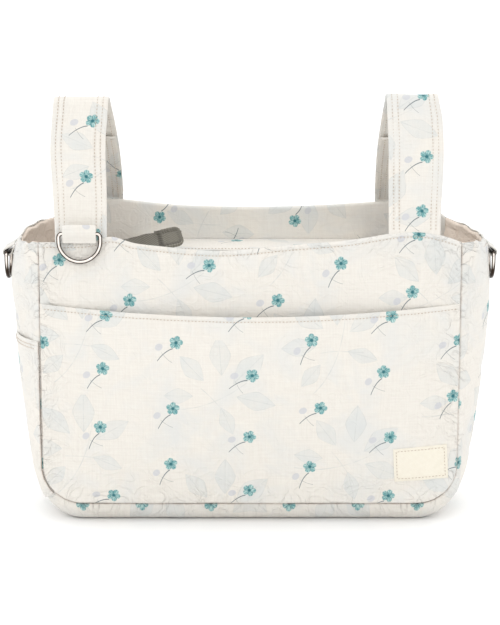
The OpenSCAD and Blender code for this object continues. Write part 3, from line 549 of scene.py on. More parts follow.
def gusset_grid(inset=0.0, drop=0.0, dressed=True):
    """Points of the whole gusset, with its places along (s) and across (t). inset keeps it off the
    seams and drop off the hem; a dressed one has its creases and seams too."""
    t = half_t * (1 - inset / half_d)
    t = np.concatenate([-t, [0], t[::-1]])[None, :]
    s = np.concatenate([-half_s[:0:-1], half_s])[:, None]
    grid = gusset_point(s, t, drop=drop)
    if dressed:
        gap = half_d * (1 - np.abs(t))
        wall = smooth((np.abs(s) - flat_s) / 60)
        lift = seam_draw(gap, np.abs(s), 2 + np.sign(t)) * (0.35 + 0.65 * wall)
        fold = 0.5 * smooth(gap / 16) * wall * undulation(s * 0.5, 60 * t * 1.6, 4.0)
        lift = lift + settle(fold + gusset_slack(s, t)) * (0.3 + 0.7 * wall)
        grid = grid + normals(grid, grid - bag_middle) * lift[..., None]
    grid = rumple(grid)
    grid[..., 2] = np.maximum(grid[..., 2], 0.02)
    return grid, s, t


def hem_ends(grid, s, way, radius):
    """Both ends of the strip are hems: the end rows are carried over the top, inward (way -1) or
    outward (1). Also gives every row's place along the cloth."""
    for _ in range(2):
        turn = way * np.sign(grid[-1, :, :1]) * AXIS_X
        grid = roll_over(grid.transpose(1, 0, 2), turn, radius).transpose(1, 0, 2)[::-1]
    extra = 0.7 * np.arange(1, 6)
    return grid, np.concatenate([s[0] - extra[::-1], s[:, 0], s[-1] + extra])[:, None]


outer_gusset, gusset_s, gusset_t = gusset_grid(inset=0.4, drop=hem_roll)
grid, v = hem_ends(outer_gusset, gusset_s, -1, hem_roll)
gap = half_d * (1 - np.abs(gusset_t))
# crease sets where painted shade darkens the cloth along its seams
gusset = ply("gusset_cloth", grid, cloth_t, (half_d * gusset_t + 40, np.abs(v) + 17), print_cloth,
             back=bag_middle - grid, crease=bell(gap - 0.4, crease_reach),
             pull=np.exp(-gap / pull_reach) + np.exp((grid[..., 2] - body_h) / 16))
fit(gusset, "bag", "print_cotton", "gusset")

# ---- Front pocket ----
# A flat pocket as wide as the front, of two plies, sewn in with the side and bottom seams. Its hem is
# turned in and stitched once, and it stands a little away from the panel.
pocket_roll = 0.8


def pocket_hem(x):
    """Height of the pocket's hem: 156 above the bottom seam at the sides, 7 lower in the middle."""
    return seam_z + 156 - 7 * (1 - (x / half_w) ** 2)


def pocket_out(x, z, dressed=True):
    """How far the pocket's outer face lies outside the front seam plane: the panel's own bow, 1.7 for
    its plies, and up to 10 more at the hem's middle, growing as a quarter sine wave."""
    hem = pocket_hem(x)
    share = height_share(x, z, hem)
    stand = 10 * (1 - (x / half_w) ** 2) * np.sin(np.pi / 2 * np.clip(share, 0, 1))
    out = panel_out(-1, x, z, False) + 1.7 + stand
    if dressed:
        gap = seam_gap(x, z)
        fade = smooth(gap / 22) * smooth((hem - z) / 16)
        out = out + settle(0.6 * fade * undulation(x, z, 7.3) + pocket_slack(x, share))
        out = out + seam_draw(gap, x - z, 5) - 0.45 * bell(hem - z - hem_row, 0.8)
        out = out - 1.2 * np.exp(-gap / 5) * smooth((z - hem + 40) / 40)
    return out


def pocket_form(x, k):
    """Points of the pocket without its creases: k runs from 0 at the bottom seam to 1 at the hem."""
    z = panel_foot(x) + k * (pocket_hem(x) - panel_foot(x))
    return xyz(x, -half_d - pocket_out(x, z, False), z)


pocket_slack = slack(pocket_form, np.linspace(-half_w + 2, half_w - 2, 71), np.linspace(0.01, 0.99, 35),
                     0.010)
x = columns()
z = upright(panel_foot(x), pocket_hem(x) - pocket_roll)
x = x[:, None]
grid = roll_over(xyz(x, -half_d - pocket_out(x, z), z), AXIS_Y, pocket_roll, sweep=150)
gap = seam_gap(grid[..., 0], grid[..., 2])
# crease sets where painted shade darkens the cloth along its seams
pocket = ply("front_pocket_cloth", grid, cloth_t, (grid[..., 0] - 20, grid[..., 2] + 71), print_cloth,
             back=AXIS_Y, crease=bell(gap, crease_reach), pull=np.exp(-gap / pull_reach))
fit(pocket, "bag", "print_cotton", "front_pocket")

# ---- Side pocket ----
# A patch of the same cloth over the lower left side, caught in both side seams; its hem stands off.
side_pocket_h = 141.0
top_s = flat_s + arc_s + side_z * (side_pocket_h - corner_z) / (body_h - 5 - corner_z)
low_s = flat_s + arc_s * 0.5


def side_pocket_grid(s, t):
    """The gusset's form moved out: 0.5 at the seams, up to 1.5 in the middle of the hem, plus 1.1 for
    its plies. Also gives its normals."""
    base = gusset_point(-s, t)
    n = normals(base, np.array([-1.0, 0, -0.3]))
    k = np.clip((s - low_s) / (top_s - low_s), 0, 1)
    gap = half_d * (1 - np.abs(t))
    stand = 0.5 + 1.0 * (1 - t ** 2) * np.sin(np.pi / 2 * k) + 1.1
    stand = stand + 0.6 * smooth(gap / 14) * undulation(s, 60 * t, 2.2) * smooth((top_s - s) / 12)
    stand = stand + 0.8 * seam_draw(gap, s, 1)
    return base + n * stand[..., None], n


t = np.concatenate([-half_t[1:], [0], half_t[:0:-1]])[None, :]
s = np.linspace(low_s, top_s - pocket_roll, 46)[:, None]
grid = roll_over(side_pocket_grid(s, t)[0].transpose(1, 0, 2), AXIS_X, pocket_roll, sweep=150)
v = np.concatenate([s[:, 0], s[-1] + np.arange(1, 6) * 0.4])
gap = half_d * (1 - np.abs(t.T))
# crease sets where painted shade darkens the cloth along its seams
side_pocket = ply("side_pocket_cloth", grid, cloth_t, (half_d * t.T + 44, v + 60), print_cloth,
                  back=AXIS_X, crease=bell(gap - 0.5, crease_reach), pull=np.exp(-gap / pull_reach))
fit(side_pocket, "bag", "print_cotton", "side_pocket")

# ---- Facings ----
# A strip of the printed cloth turned in along each hem, down to where the zip panel hangs. The print
# lies the other way up on it.
lining_t = 0.8
corner_room = 0.8  # how far a facing and a lining stay off the side seam
zip_z = body_h - 18.0
facing_in = 4.6


def facing_out(side, x, z):
    """Where the facing's seen face lies: the panel's form, eased back to straight at the zip seam."""
    return panel_out(side, x, z, False) * (1 - smooth(1 - np.abs(z - zip_z) / 20)) - facing_in


for side, name in FACES:
    x = columns(inset=corner_room)[:, None]
    k = np.linspace(0, 1, 14)[None, :]
    z = zip_z + 0.3 + (hem_z(side, x) - hem_roll - zip_z - 0.3) * k
    sag = 0.35 * undulation(x * 1.4, z * 2, 3.1) * np.sin(np.pi * k)
    grid = xyz(x, side * (half_d + facing_out(side, x, z) - 0.1 - np.abs(sag)), z)
    grid = roll_over(grid, side * AXIS_Y, hem_roll)
    facing = ply(name + "_facing_cloth", grid, lining_t, (-grid[..., 0] + 8, -grid[..., 2] - 14),
                 print_cloth, back=side * AXIS_Y)
    fit(facing, "bag", "print_cotton", name + "_facing")

# ---- Lining ----
# Plain beige lining: one piece on each panel, hung from the zip seam, and one along the gusset that
# reaches up to the gusset's hem. It is slack, so it lies in small creases.


def lining_weave(node):
    """Plain-woven polyester-cotton lining, dyed and pressed: matt, fine, a little limp. Threads are
    about 0.3 mm; they are drawn at 0.8 mm so that they show."""
    cloth = place_on_cloth(node)
    tone = node("TexNoise", cloth, Scale=0.08, Detail=4.0)
    threads = [node("TexWave", cloth, bands_direction=way, Scale=0.4, out="Fac") for way in "XY"]
    relief = node("Bump", Strength=0.4, Distance=0.0001, Height=node("Math MULTIPLY", *threads))
    crease = node("TexNoise", cloth, Scale=0.11, Detail=3.0, Distortion=1.2)
    return (node("Mix RGBA", tone, "#ecdccd", "#f8ece0"),
            node("Bump", Strength=0.9, Distance=0.0022, Height=crease, Normal=relief))


lining_cloth = new_material("dyed_plain_weave_lining", lining_weave, Roughness=0.85,
                            Specular_IOR_Level=0.25, Sheen_Weight=0.1)
for side, name in FACES:
    x = columns(inset=corner_room)
    foot = panel_foot(x * half_w / (half_w - corner_room)) + 1.4
    z = upright(foot, np.full_like(x, zip_z - 0.3), pitch=5)
    x = x[:, None]
    loose = 0.6 * (1 + undulation(x * 1.6, z * 1.3, 5 + side)) * smooth((zip_z - z) / 30)
    loose = loose * smooth((half_w - np.abs(x)) / 9)
    grid = xyz(x, side * (half_d + facing_out(side, x, z) - loose), z)
    lining = ply(name + "_lining_cloth", grid, lining_t, (x, z), lining_cloth, back=side * AXIS_Y)
    fit(lining, "bag", "lining_cloth", name + "_lining")

base, s, t = gusset_grid(inset=1.0, drop=hem_roll, dressed=False)
# at the hem it is sewn to the outer cloth, so there it follows every wave of that
at_hem = smooth((np.abs(s) - half_s[-1] + 16) / 13)
base = base + (gusset_grid(inset=1.0, drop=hem_roll)[0] - base) * at_hem[..., None]
wall = smooth((np.abs(s) - flat_s) / 60) * (1 - at_hem)
loose = 0.9 * wall * smooth(half_d * (1 - np.abs(t)) / 15) * (1 + undulation(s * 1.5, 110 * t, 0.7))
grid = base + normals(base, bag_middle - base) * (4.5 - 0.4 * at_hem + loose)[..., None]
grid, v = hem_ends(grid, s, 1, 2.1)
gusset_lining = ply("gusset_lining_cloth", grid, lining_t, (half_d * t, v), lining_cloth,
                    back=grid - bag_middle)
fit(gusset_lining, "bag", "lining_cloth", "gusset_lining")

# ---- Zip flaps ----
# Two flaps of printed cloth, folded double over the zip tape and edge-stitched. Each hangs from the
# seam between facing and lining and lifts about it.
flap_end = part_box("front_zip_flap")[1].x / MM
flap_root, flap_edge = 54.8, 8.0
flap_row = 2.6  # from the flap's edge in to its row of stitches
for side, name in FACES:
    u = np.linspace(-flap_end, flap_end, 60)[:, None]
    w = np.concatenate([np.linspace(0, 0.06, 4)[:-1], np.linspace(0.06, 0.94, 18),
                        np.linspace(0.94, 1, 4)[1:]])[None, :]
    reach = flap_root - flap_edge
    y = side * (flap_root - reach * w)
    soft = 0.35 * undulation(u * 1.5, y * 2.2, 6 + side) * np.sin(np.pi * w)
    from_edge = (1 - w) * reach
    z = zip_z + 0.75 + soft - 0.6 * bell(from_edge, 0.7) - 0.25 * bell(from_edge - flap_row, 0.7)
    flap = ply(name + "_zip_flap_cloth", xyz(u, y, z), 1.5, (u + 40, side * y - 20), print_cloth,
               back=-AXIS_Z)
    fit(flap, name + "_flap", "print_cotton", name + "_zip_flap")

# ---- Zip tape, teeth, slider and pull ----
# A woven tape on each side, dyed warm grey, with moulded teeth. The slider is cast and painted, and
# its pull turns on a pin.


def tape_weave(dark, light):
    """Woven polyester zip tape: a herringbone of fine ribs along the tape, dull, slightly silky.
    Ribs are about 0.6 mm; they are drawn at 1.1 mm so that they show."""
    def surface(node):
        cloth = place_on_cloth(node)
        rib = node("TexWave", cloth, bands_direction="Y", Scale=0.29, Distortion=0.4, Detail=1.0, out="Fac")
        cross = node("TexWave", cloth, bands_direction="DIAGONAL", Scale=0.3, Distortion=0.5, out="Fac")
        weave = node("Math ADD", rib, cross)
        tone = node("MapRange", weave, 0.2, 1.8, 0.0, 1.0)
        # painted shade: the colour is darkened where a piece marks a crease, in the tab's stitch dents and at
        # its neck
        painted_crease_shade = node("Attribute", attribute_name="crease", out="Fac")
        colour = node("Mix RGBA", tone, dark, light)
        return (node("Mix RGBA", painted_crease_shade, colour, "#2f2c27"),
                node("Bump", Strength=0.6, Distance=0.0002, Height=weave))
    return surface


def grained(low, high, strength=0.0, depth=0.0, kind="TexNoise", **pattern):
    """A fine pattern on the object itself that goes from one colour to the other and, where it has a
    depth in metres, lifts the surface by that. Scale is its cells in a metre, or a third of its waves."""
    def surface(node):
        grain = node(kind, node("TexCoord", out="Object"), **pattern)
        relief = node("Bump", Strength=strength, Distance=depth, Height=grain) if depth else None
        return node("Mix RGBA", grain, low, high), relief
    return surface


def baked_enamel(node):
    """Die-cast zinc with baked grey enamel: smooth and satin, with a little orange peel, and brighter
    where a hand has rubbed the edges."""
    place = node("TexCoord", out="Object")
    peel = node("TexNoise", place, Scale=1400.0, Detail=2.0)
    rub = node("TexNoise", place, Scale=260.0, Detail=4.0)
    rub = node("MapRange", rub, 0.55, 0.75, 0.0, 0.6)
    return (node("Mix RGBA", rub, "#77736b", "#a39e95"),
            node("Bump", Strength=0.1, Distance=0.00005, Height=peel))


def dressed_nodes(material, *nodes):
    """Gives CAD nodes, whose shape stays, their own material."""
    for node in nodes:
        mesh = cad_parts[node].data
        mesh.materials.clear()
        mesh.materials.append(material)


silky = {"Roughness": 0.7, "Specular_IOR_Level": 0.3, "Sheen_Weight": 0.2}
grey_tape = new_material("woven_polyester_zip_tape", tape_weave("#55524a", "#8a867c"), **silky)
for side, name in FACES:
    low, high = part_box("zip_tape_" + name)
    u = np.linspace(low.x, high.x, 90)[:, None] / MM
    w = np.linspace(low.y, high.y, 8)[None, :] / MM
    tape = ply("zip_tape_" + name + "_woven", xyz(u, w, high.z / MM + 0.06 * np.sin(u / 5.2)), 0.75,
               (u, w), grey_tape, back=-AXIS_Z)
    fit(tape, name + "_flap", "zip_tape", "zip_tape_" + name)
# injection-moulded acetal: smooth, waxy, a soft highlight, faint mottling from the mould
waxy = grained("#5d5a53", "#77736b", 0.15, 0.00005, Scale=900.0, Detail=2.0)
acetal = new_material("moulded_acetal_teeth", waxy, Roughness=0.38, IOR=1.48)
dressed_nodes(acetal, "zip_teeth_front", "zip_teeth_back", "zip_bottom_stop")
enamel = new_material("enamelled_cast_zinc", baked_enamel, Roughness=0.32, Metallic=0.6)
dressed_nodes(enamel, "zip_slider", "zip_pull")

# ---- Zip tail and its end tab ----
# Past its closed end the tape is folded back over the front flap and twists as it goes; a folded
# cloth tab with a round tip closes its cut end.
chain_z = zip_z - 1.5
start_x = -flap_end - 0.4


def tail_path(k):
    """Centre line for k from 0 to 1: level out to the left, a half circle of radius 3.8 upwards, then
    back to the right, rising 3.6 and easing 7 towards the front. Also gives how far it is twisted."""
    run, r, back = 8.0, 3.8, 28.0
    length = run + np.pi * r + back
    d = k * length
    a = np.clip((d - run) / r, 0, np.pi)
    home = np.maximum(0, d - run - np.pi * r)
    x = start_x - np.minimum(d, run) - r * np.sin(a) + home
    z = chain_z + r * (1 - np.cos(a)) + 3.6 * smooth(home / back)
    y = -7 * smooth((d - run) / (length - run - 8))
    return xyz(x, y, z), smooth((d - 6) / (length - 12))


k = np.linspace(0, 1, 60)[:, None]
path, twist = tail_path(k[:, 0])
along = np.gradient(path, axis=0)
along /= np.linalg.norm(along, axis=-1, keepdims=True)
tilt = np.radians(45) * twist[:, None]
wide = np.cos(tilt) * AXIS_Y + np.sin(tilt) * np.cross(along, AXIS_Y)
face = np.cross(wide, along)
c = np.linspace(-1, 1, 15)[None, :]
# 25 wide where it leaves the zip and 15 once it has turned; it curls up by 0.6 between its edges
width = 12.5 - 5 * smooth((k - 0.1) / 0.5)
curl = 0.6 * (1 - c ** 2) + 0.25 * np.sin(k * 30) * c
grid = path[:, None] + wide[:, None] * (width * c)[..., None] + face[:, None] * curl[..., None]
tail = ply("zip_tail_woven", grid, 1.1, (k * 50, c * 8), grey_tape)
fit(tail, "front_flap", "zip_tape", "zip_tail")

# ribbed cotton, folded and pressed: dull, a shade lighter than the tape, with painted shade in the dents along
# its stitches and at its neck
dark_tape = new_material("folded_cotton_tab", tape_weave("#5d5a51", "#8e8a7f"), **silky)
tab_l, tab_half, tip_r = 19.0, 8.8, 5.5
neck = 1.6  # from the tab's open end to the row that closes it over the tape
binding_w = 2.1
tip, face_tip, tilt = path[-1], face[-1], math.radians(14)
along_tip = along[-1] * math.cos(tilt) + wide[-1] * math.sin(tilt)
wide_tip = wide[-1] * math.cos(tilt) - along[-1] * math.sin(tilt)
tip_s = tab_l - tip_r
u = np.concatenate([np.linspace(-neck, tip_s, 34), tip_s + tip_r * np.sin(np.linspace(0, np.pi / 2, 9)[1:])])
over = np.clip((u - tip_s) / tip_r, 0, 1)
half = np.maximum(tab_half - tip_r * (1 - np.sqrt(np.maximum(0, 1 - over ** 2))), 0.8)
half = (half - 0.9 * bell(u - neck, 0.9))[:, None]
u = u[:, None]
c = np.sin(np.linspace(-1, 1, 23) * np.pi / 2)[None, :]
# its middle is padded, its edges are bound, and a stitch line runs inside the binding
inside = np.minimum(half * (1 - np.abs(c)), tab_l - u)
puff = 0.9 + 0.9 * smooth(inside / 1.2) - 0.7 * bell(inside - binding_w, 0.5)
puff = puff + 0.3 * smooth((inside - 2.5) / 3) - 0.8 * bell(u - neck, 0.8) - 0.25 * bell(u - 8 - 2 * c, 1.2)
grid = tip + along_tip * u[..., None] + wide_tip * (half * c + 0.8)[..., None] + face_tip * puff[..., None]
# the crease mark paints shade into the dent of the stitch line and into the neck
tab = ply("zip_end_tab_cloth", grid, 2.6, (u, c * 8), dark_tape, back=-face_tip,
          crease=0.55 * np.maximum(bell(inside - binding_w, 0.4), 1.2 * bell(u - neck, 0.6)))
fit(tab, "front_flap", "zip_tab", "zip_end_tab")

# ---- Straps ----
# Each strap is a tube of the printed cloth pressed flat, sewn into both hems and folded over at the
# top, with two rows of stitches along each edge. Its rear end is closed with hook and loop tape on a
# short back strap, and opens about the top fold.
strap_w, strap_t = 40.0, 2.2
strap_rows = (3.8, 7.9)  # from a strap's edge in to its two rows of stitches
strap_foot = 57.6
sewn_in = np.array([[0, 9], [0, 4]])  # the two points of a strap's line that are down inside a hem
thread_up, thread_under = 1.05, -0.9  # where the thread lies, out from the strap's middle
fold_y, fold_z, fold_r = -16.0, body_h + 106 - 9.1, 8.0
strap_lay = 5.1
back_strap_l = 72.0
tape_half, tape_l, tape_inset = 15.0, 50.0, 4.0


def strap_line(side, strap_x):
    """Centre line of the long strap in the YZ plane: from inside the hem up the front leg, which bows
    forward by 1.6, round the fold, and down the rear leg to just above the back hem. Each leg is
    tangent to the fold's circle. Also gives both feet, the hinge at the fold's end, and the rear
    leg's direction, its normal and its length."""
    front = np.array([-strap_foot, hem_z(-1, strap_x) + 1])
    back = np.array([strap_foot, hem_z(1, strap_x) + 1])
    centre = np.array([fold_y, fold_z - (2 if side < 0 else 0)])
    v, w = centre - front, back - centre
    rise = math.atan2(v[1], v[0]) + math.asin(fold_r / np.hypot(*v))
    fall = math.atan2(w[1], w[0]) - math.asin((fold_r - strap_lay) / np.hypot(*w))
    ahead, up = np.array([[-math.sin(a), math.cos(a)] for a in (rise, fall)])
    top, hinge = centre + fold_r * ahead, centre + fold_r * up
    k = np.linspace(0, 1, 40)[:, None]
    leg = front + (top - front) * k + ahead * 1.6 * np.sin(np.pi * k) ** 2
    arc = np.linspace(rise + math.pi / 2, fall + math.pi / 2, 22)[1:-1, None]
    fold = centre + fold_r * np.hstack([np.cos(arc), np.sin(arc)])
    length = (hinge[1] - back[1] - 4) / -math.sin(fall)
    down = np.array([math.cos(fall), math.sin(fall)])
    rear = hinge + down * np.linspace(0, length, 36)[:, None]
    line = np.concatenate([front - sewn_in, leg, fold, rear])
    return line, front, back, hinge, down, up, length


def lean_in(side, line, hinge, down, back):
    """Sideways shift: the rear leg leans towards the bag's middle, 5 at the hem on the left and 3 on the
    right, with a bow of up to 1.6 between; the front leg bows outward at two thirds of its height, by
    up to 2.2 on the left and 1.1 on the right."""
    far = np.maximum(0, (line - hinge) @ down) / ((back - hinge) @ down)
    far = np.where(line[:, 0] > hinge[0], far, 0)
    front_leg = bell(line[:, 1] - 288, 26) * smooth((hinge[0] + 4 - line[:, 0]) / 16)
    lean, ahead = (5, 2.2) if side < 0 else (3, 1.1)
    return side * (ahead * front_leg - lean * far - 1.6 * np.sin(np.pi * far))


def edge_draw(side, c, high, hem):
    """Change of width along the strap: 0.7 more at each edge in its upper half, the right one's outer
    edge 2.2 less at the fold, and both outer edges 1.5 less at the hem."""
    upper = 0.7 * smooth((high - 240) / 50) * c / 20
    less = (2.2 * smooth((high - 306) / 18) if side > 0 else 0) + 1.5 * bell(high - hem, 22)
    return upper - side * less * (c * side > 0) * np.abs(c) / 20


def no_draw(c, high):
    """An even width: no change at any height."""
    return 0 * high


def band(name, line, mid, draw, uv_shift):
    """A flat strap along a line in the YZ plane, its middle at mid in X: its edges are raised 0.3
    outside the inner row of stitches, pressed in by 0.28 at each row, and rounded off. Also gives the
    line's normals."""
    step = np.diff(line, axis=0, prepend=line[:1])
    length = np.cumsum(np.hypot(step[:, 0], step[:, 1]))[:, None]
    along = np.gradient(line, axis=0)
    along /= np.hypot(along[:, :1], along[:, 1:])
    out = np.stack([-along[:, 1], along[:, 0]], -1)
    half = strap_w / 2
    e = np.array([0, 0.25, 0.7, 1.4, 2.4, 3.3, 3.8, 4.3, 5.4, 6.8, 7.4, 7.9, 8.6, 10, 13, 16.5])
    c = np.concatenate([-half + e, half - e[::-1]])[None, :]
    d = half - np.abs(c)
    rise = 0.3 * smooth((9 - d) / 1.5) - 0.9 * np.exp(-d / 0.35) - 0.15
    for row in strap_rows:
        rise = rise - 0.28 * bell(d - row, 0.45)
    ripple = 0.18 * np.sin(length / 2.3) * bell(d - 2, 2.5) + 0.4 * undulation(length * 1.3, c * 3, mid[0])
    yz = line[:, None] + out[:, None] * (strap_t / 2 + rise + ripple)[..., None]
    grid = xyz(mid[:, None] + c + draw(c, line[:, 1:]), yz[..., 0], yz[..., 1])
    return ply(name, grid, strap_t - 0.35, (c + uv_shift[0], length + uv_shift[1]), print_cloth,
               back=xyz(0, -out[:, 0], -out[:, 1])[:, None]), out


# mercerised cotton, three-ply twisted: cream, a low sheen, seen as short raised stitches; their
# colour is painted a tone darker than the cloth, as painted shade for the dent each sits in
twist = grained("#b3a391", "#d2c5b6", kind="TexWave", out="Fac", bands_direction="DIAGONAL",
                Scale=900.0, Distortion=1.0)
sewing_thread = new_material("twisted_cotton_thread", twist, Roughness=0.6, Sheen_Weight=0.2)


def stitches(name, rows, length=1.5, radius=0.3):
    """Stitches along polylines: each is a small spindle of four rings of four points, laid along the
    line every 2.6, its ends sunk into the cloth. rows holds (points, outward normals) in mm."""
    pitch = 2.6
    verts = []
    # along the stitch, out from the cloth, and thickness of each ring
    shape = np.array([[-0.5, -0.9, 0.35], [-0.28, 0.45, 1.0], [0.28, 0.45, 1.0], [0.5, -0.9, 0.35]])
    ahead, lift, thick = (shape * [length, radius, radius]).T[..., None, None]
    ring = np.array([[1, 0], [0, 1], [-1, 0], [0, -1]])[None, ..., None]
    for points, out in rows:
        step = np.linalg.norm(np.diff(points, axis=0, prepend=points[:1]), axis=-1)
        run = np.cumsum(step)
        at = np.arange(pitch / 2, run[-1], pitch)
        p, q, w = [np.stack([np.interp(at + d, run, points[:, i]) for i in range(3)], -1)
                   for d in (0, 0.5, -0.5)]
        n = np.stack([np.interp(at, run, out[:, i]) for i in range(3)], -1)
        t, n = [v / np.maximum(np.linalg.norm(v, axis=-1, keepdims=True), 1e-9) for v in (q - w, n)]
        p, t, n, b = [v[:, None, None] for v in (p, t, n, np.cross(t, n))]
        verts.append((p + t * ahead + n * (lift + thick * ring[:, :, 0]) + b * thick * ring[:, :, 1])
                     .reshape(-1, 16, 3))
    verts = np.concatenate(verts)
    i = np.arange(4)
    sides = [np.stack([4 * j + i, 4 * j + (i + 1) % 4, 4 * j + 4 + (i + 1) % 4, 4 * j + 4 + i], -1)
             for j in range(3)]
    one = np.concatenate(sides + [[[3, 2, 1, 0]], [[12, 13, 14, 15]]])
    quads = 16 * np.arange(len(verts))[:, None, None] + one
    return new_piece(name, verts, quads.reshape(-1, 4), sewing_thread)


def edge_rows(line, mid, out, draw, above, below):
    """Two rows of stitches along both edges of a strap, seen from above and from below. above and
    below are the spans of the line that they run along."""
    rows = []
    for c in sorted(way * (strap_w / 2 - row) for row in strap_rows for way in (-1, 1)):
        for lift, span in ((thread_up, above), (thread_under, below)):
            face = line + out * lift
            rows.append((xyz(mid + c + draw(c, line[:, 1]), face[:, 0], face[:, 1])[span],
                         np.sign(lift) * xyz(0, out[:, 0], out[:, 1])[span]))
    return rows


# nylon touch tape: hooks give a fine regular grid, loops a soft tangle; both dull and pale
hook_face, loop_face = [
    new_material("nylon_" + kind + "_tape", grained(low, high, 0.8, 0.0004, "TexVoronoi", Scale=grain),
                 Roughness=0.75, Sheen_Weight=0.3)
    for kind, low, high, grain in (("hook", "#b9b2a6", "#f0ece2", 900.0),
                                   ("loop", "#d8d1c4", "#f6f2ea", 520.0))]
for side, name, strap_x in ((-1, "left", left_x), (1, "right", right_x)):
    body = name + "_strap_end"
    line, front, back, hinge, down, up, length = strap_line(side, strap_x)
    draw = partial(edge_draw, side, hem=front[1])
    mid = strap_x + lean_in(side, line, hinge, down, back)
    strap, out = band(name + "_strap", line, mid, draw, (24 if side < 0 else 78, 30 * side))
    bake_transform(strap)
    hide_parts(name + "_strap_front", name + "_strap_flap")
    # the rear end is closed by one cross row
    end = line[-1] - down * 3 + up * thread_up
    rows = edge_rows(line, mid, out, draw, slice(2, None), slice(56, None))
    rows.append((xyz(np.linspace(-12, 12, 9) + mid[-1], *end), xyz(np.zeros(9), *up)))
    sewn = stitches(name + "_strap_stitches", rows)
    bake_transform(sewn)
    # short back strap
    leg = back - down * back_strap_l * np.linspace(0, 1, 30)[:, None]
    short = np.concatenate([back - sewn_in, leg])[::-1]
    mid = strap_x + lean_in(side, short, hinge, down, back)
    piece, out = band(name + "_back_strap", short, mid, no_draw, (60, 80 * side))
    fit(piece, "bag", "strap_cotton", name + "_strap_back")
    rows = edge_rows(short, mid, out, no_draw, slice(-3), slice(-3))
    fit(stitches(name + "_back_strap_stitches", rows), "bag", "strap_cotton")
    # hook tape on the back strap, loop tape under the strap's end
    for kind, offset, pile, owner in (("loop", -1.15, loop_face, body),
                                      ("hook", -2.75, hook_face, "bag")):
        first, last = length - tape_inset - tape_l, length - tape_inset
        u = np.linspace(-tape_half, tape_half, 16)[:, None]
        w = np.linspace(first, last, 26)[None, :]
        d = np.minimum(tape_half - np.abs(u), np.minimum(w - first, last - w))
        face = hinge + down * w[..., None] + up * (offset - 0.35 * np.exp(-d / 0.5))[..., None]
        aside = lean_in(side, hinge + down * w.T, hinge, down, back)
        tape = ply(name + "_" + kind + "_tape_pile", xyz(strap_x + u + aside, face[..., 0], face[..., 1]),
                   1.2, (u, w), pile, back=-xyz(0, *up))
        fit(tape, owner, kind + "_tape", name + "_" + kind + "_tape")

# ---- D-rings ----
# Three D-rings bent from 3 mm steel wire, welded and nickel-plated. Each turns in its tab.
wire_r = 1.5


def bright_nickel(node):
    """Bright nickel plate over polished wire: mirror-like with a warm tint. The thin wire shows a light
    middle and dark sides: the facing ramp paints the sides dark, a painted reflection of a dark room."""
    facing = node("LayerWeight", Blend=0.5, out="Facing")
    # painted reflection: the colour turns dark where the wire turns away from the view
    painted_dark_sides = node("MapRange", facing, 0.05, 0.2, 0.0, 1.0)
    haze = node("TexNoise", node("TexCoord", out="Object"), Scale=160.0, Detail=3.0)
    haze = node("MapRange", haze, 0.5, 0.75, 0.0, 0.3)
    painted_sides_and_haze = node("Math MINIMUM", node("Math ADD", painted_dark_sides, haze), 1.0)
    return (node("Mix RGBA", painted_sides_and_haze, "#fbf2ea", "#3a2f28"),
            node("Bump", Strength=0.1, Distance=0.0001, Height=haze))


nickel = new_material("polished_nickel_plate", bright_nickel, Metallic=1.0, Roughness=0.12)
dressed_nodes(nickel, "front_d_ring", "left_d_ring", "right_d_ring")

# ---- Ring tabs ----
# Short loops of the printed cloth, folded double round each ring's bar and sewn into a hem.
tab_w = 25.0


def loop_band(name, line, across, centre, thick):
    """A strip along an outline: line is its outer face in a plane, across the direction of its width.
    Its side edges are rounded off over 1 mm."""
    half = tab_w / 2
    e = np.array([0, 0.2, 0.6, 1.2, 2.2, 3.6, 5.3, 7.2, 9.2, 11])
    c = np.concatenate([-half + e, [0], half - e[::-1]])[None, :]
    d = half - np.abs(c)
    grid = line[:, None] + across * c[..., None]
    run = np.cumsum(np.linalg.norm(np.diff(line, axis=0, prepend=line[:1]), axis=-1))[:, None]
    sink = 0.35 * np.exp(-d / 0.35) - 0.3 * smooth(d / 4) * (1 + undulation(7 * run, 4 * c, 2.0))
    grid = grid + normals(grid, centre - grid) * sink[..., None]
    return ply(name, grid, thick, (c + 15, run + 52), print_cloth, back=centre - grid)


low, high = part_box("front_ring_tab")
bar = np.array([left_x, (low.y + high.y) / 2 / MM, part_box("front_d_ring")[1].z / MM - wire_r])
r, foot = 3.0, low.z / MM
bend_z = high.z / MM - r
a = np.radians(np.arange(12, 180, 12))
k, lay = np.linspace(0, 1, 6), np.linspace(0.15, 1, 7)
z = np.linspace(foot, bend_z, 9)
line = np.concatenate([
    xyz(bar[0], bar[1] + r, z),
    xyz(bar[0], bar[1] + r * np.cos(a), bend_z + r * np.sin(a)),
    xyz(bar[0], bar[1] - r - 0.4 * np.sin(k * np.pi), bar[2] + (bend_z - bar[2]) * (1 - k)),
    xyz(bar[0], bar[1] - r + 2.6 * smooth(lay), bar[2] + (foot - 0.1 - bar[2]) * lay)])
centre = np.array([bar[0], bar[1], (bar[2] + bend_z) / 2])
tab = loop_band("front_ring_tab_cloth", line, AXIS_X, centre, 1.1)
fit(tab, "bag", "strap_cotton", "front_ring_tab")

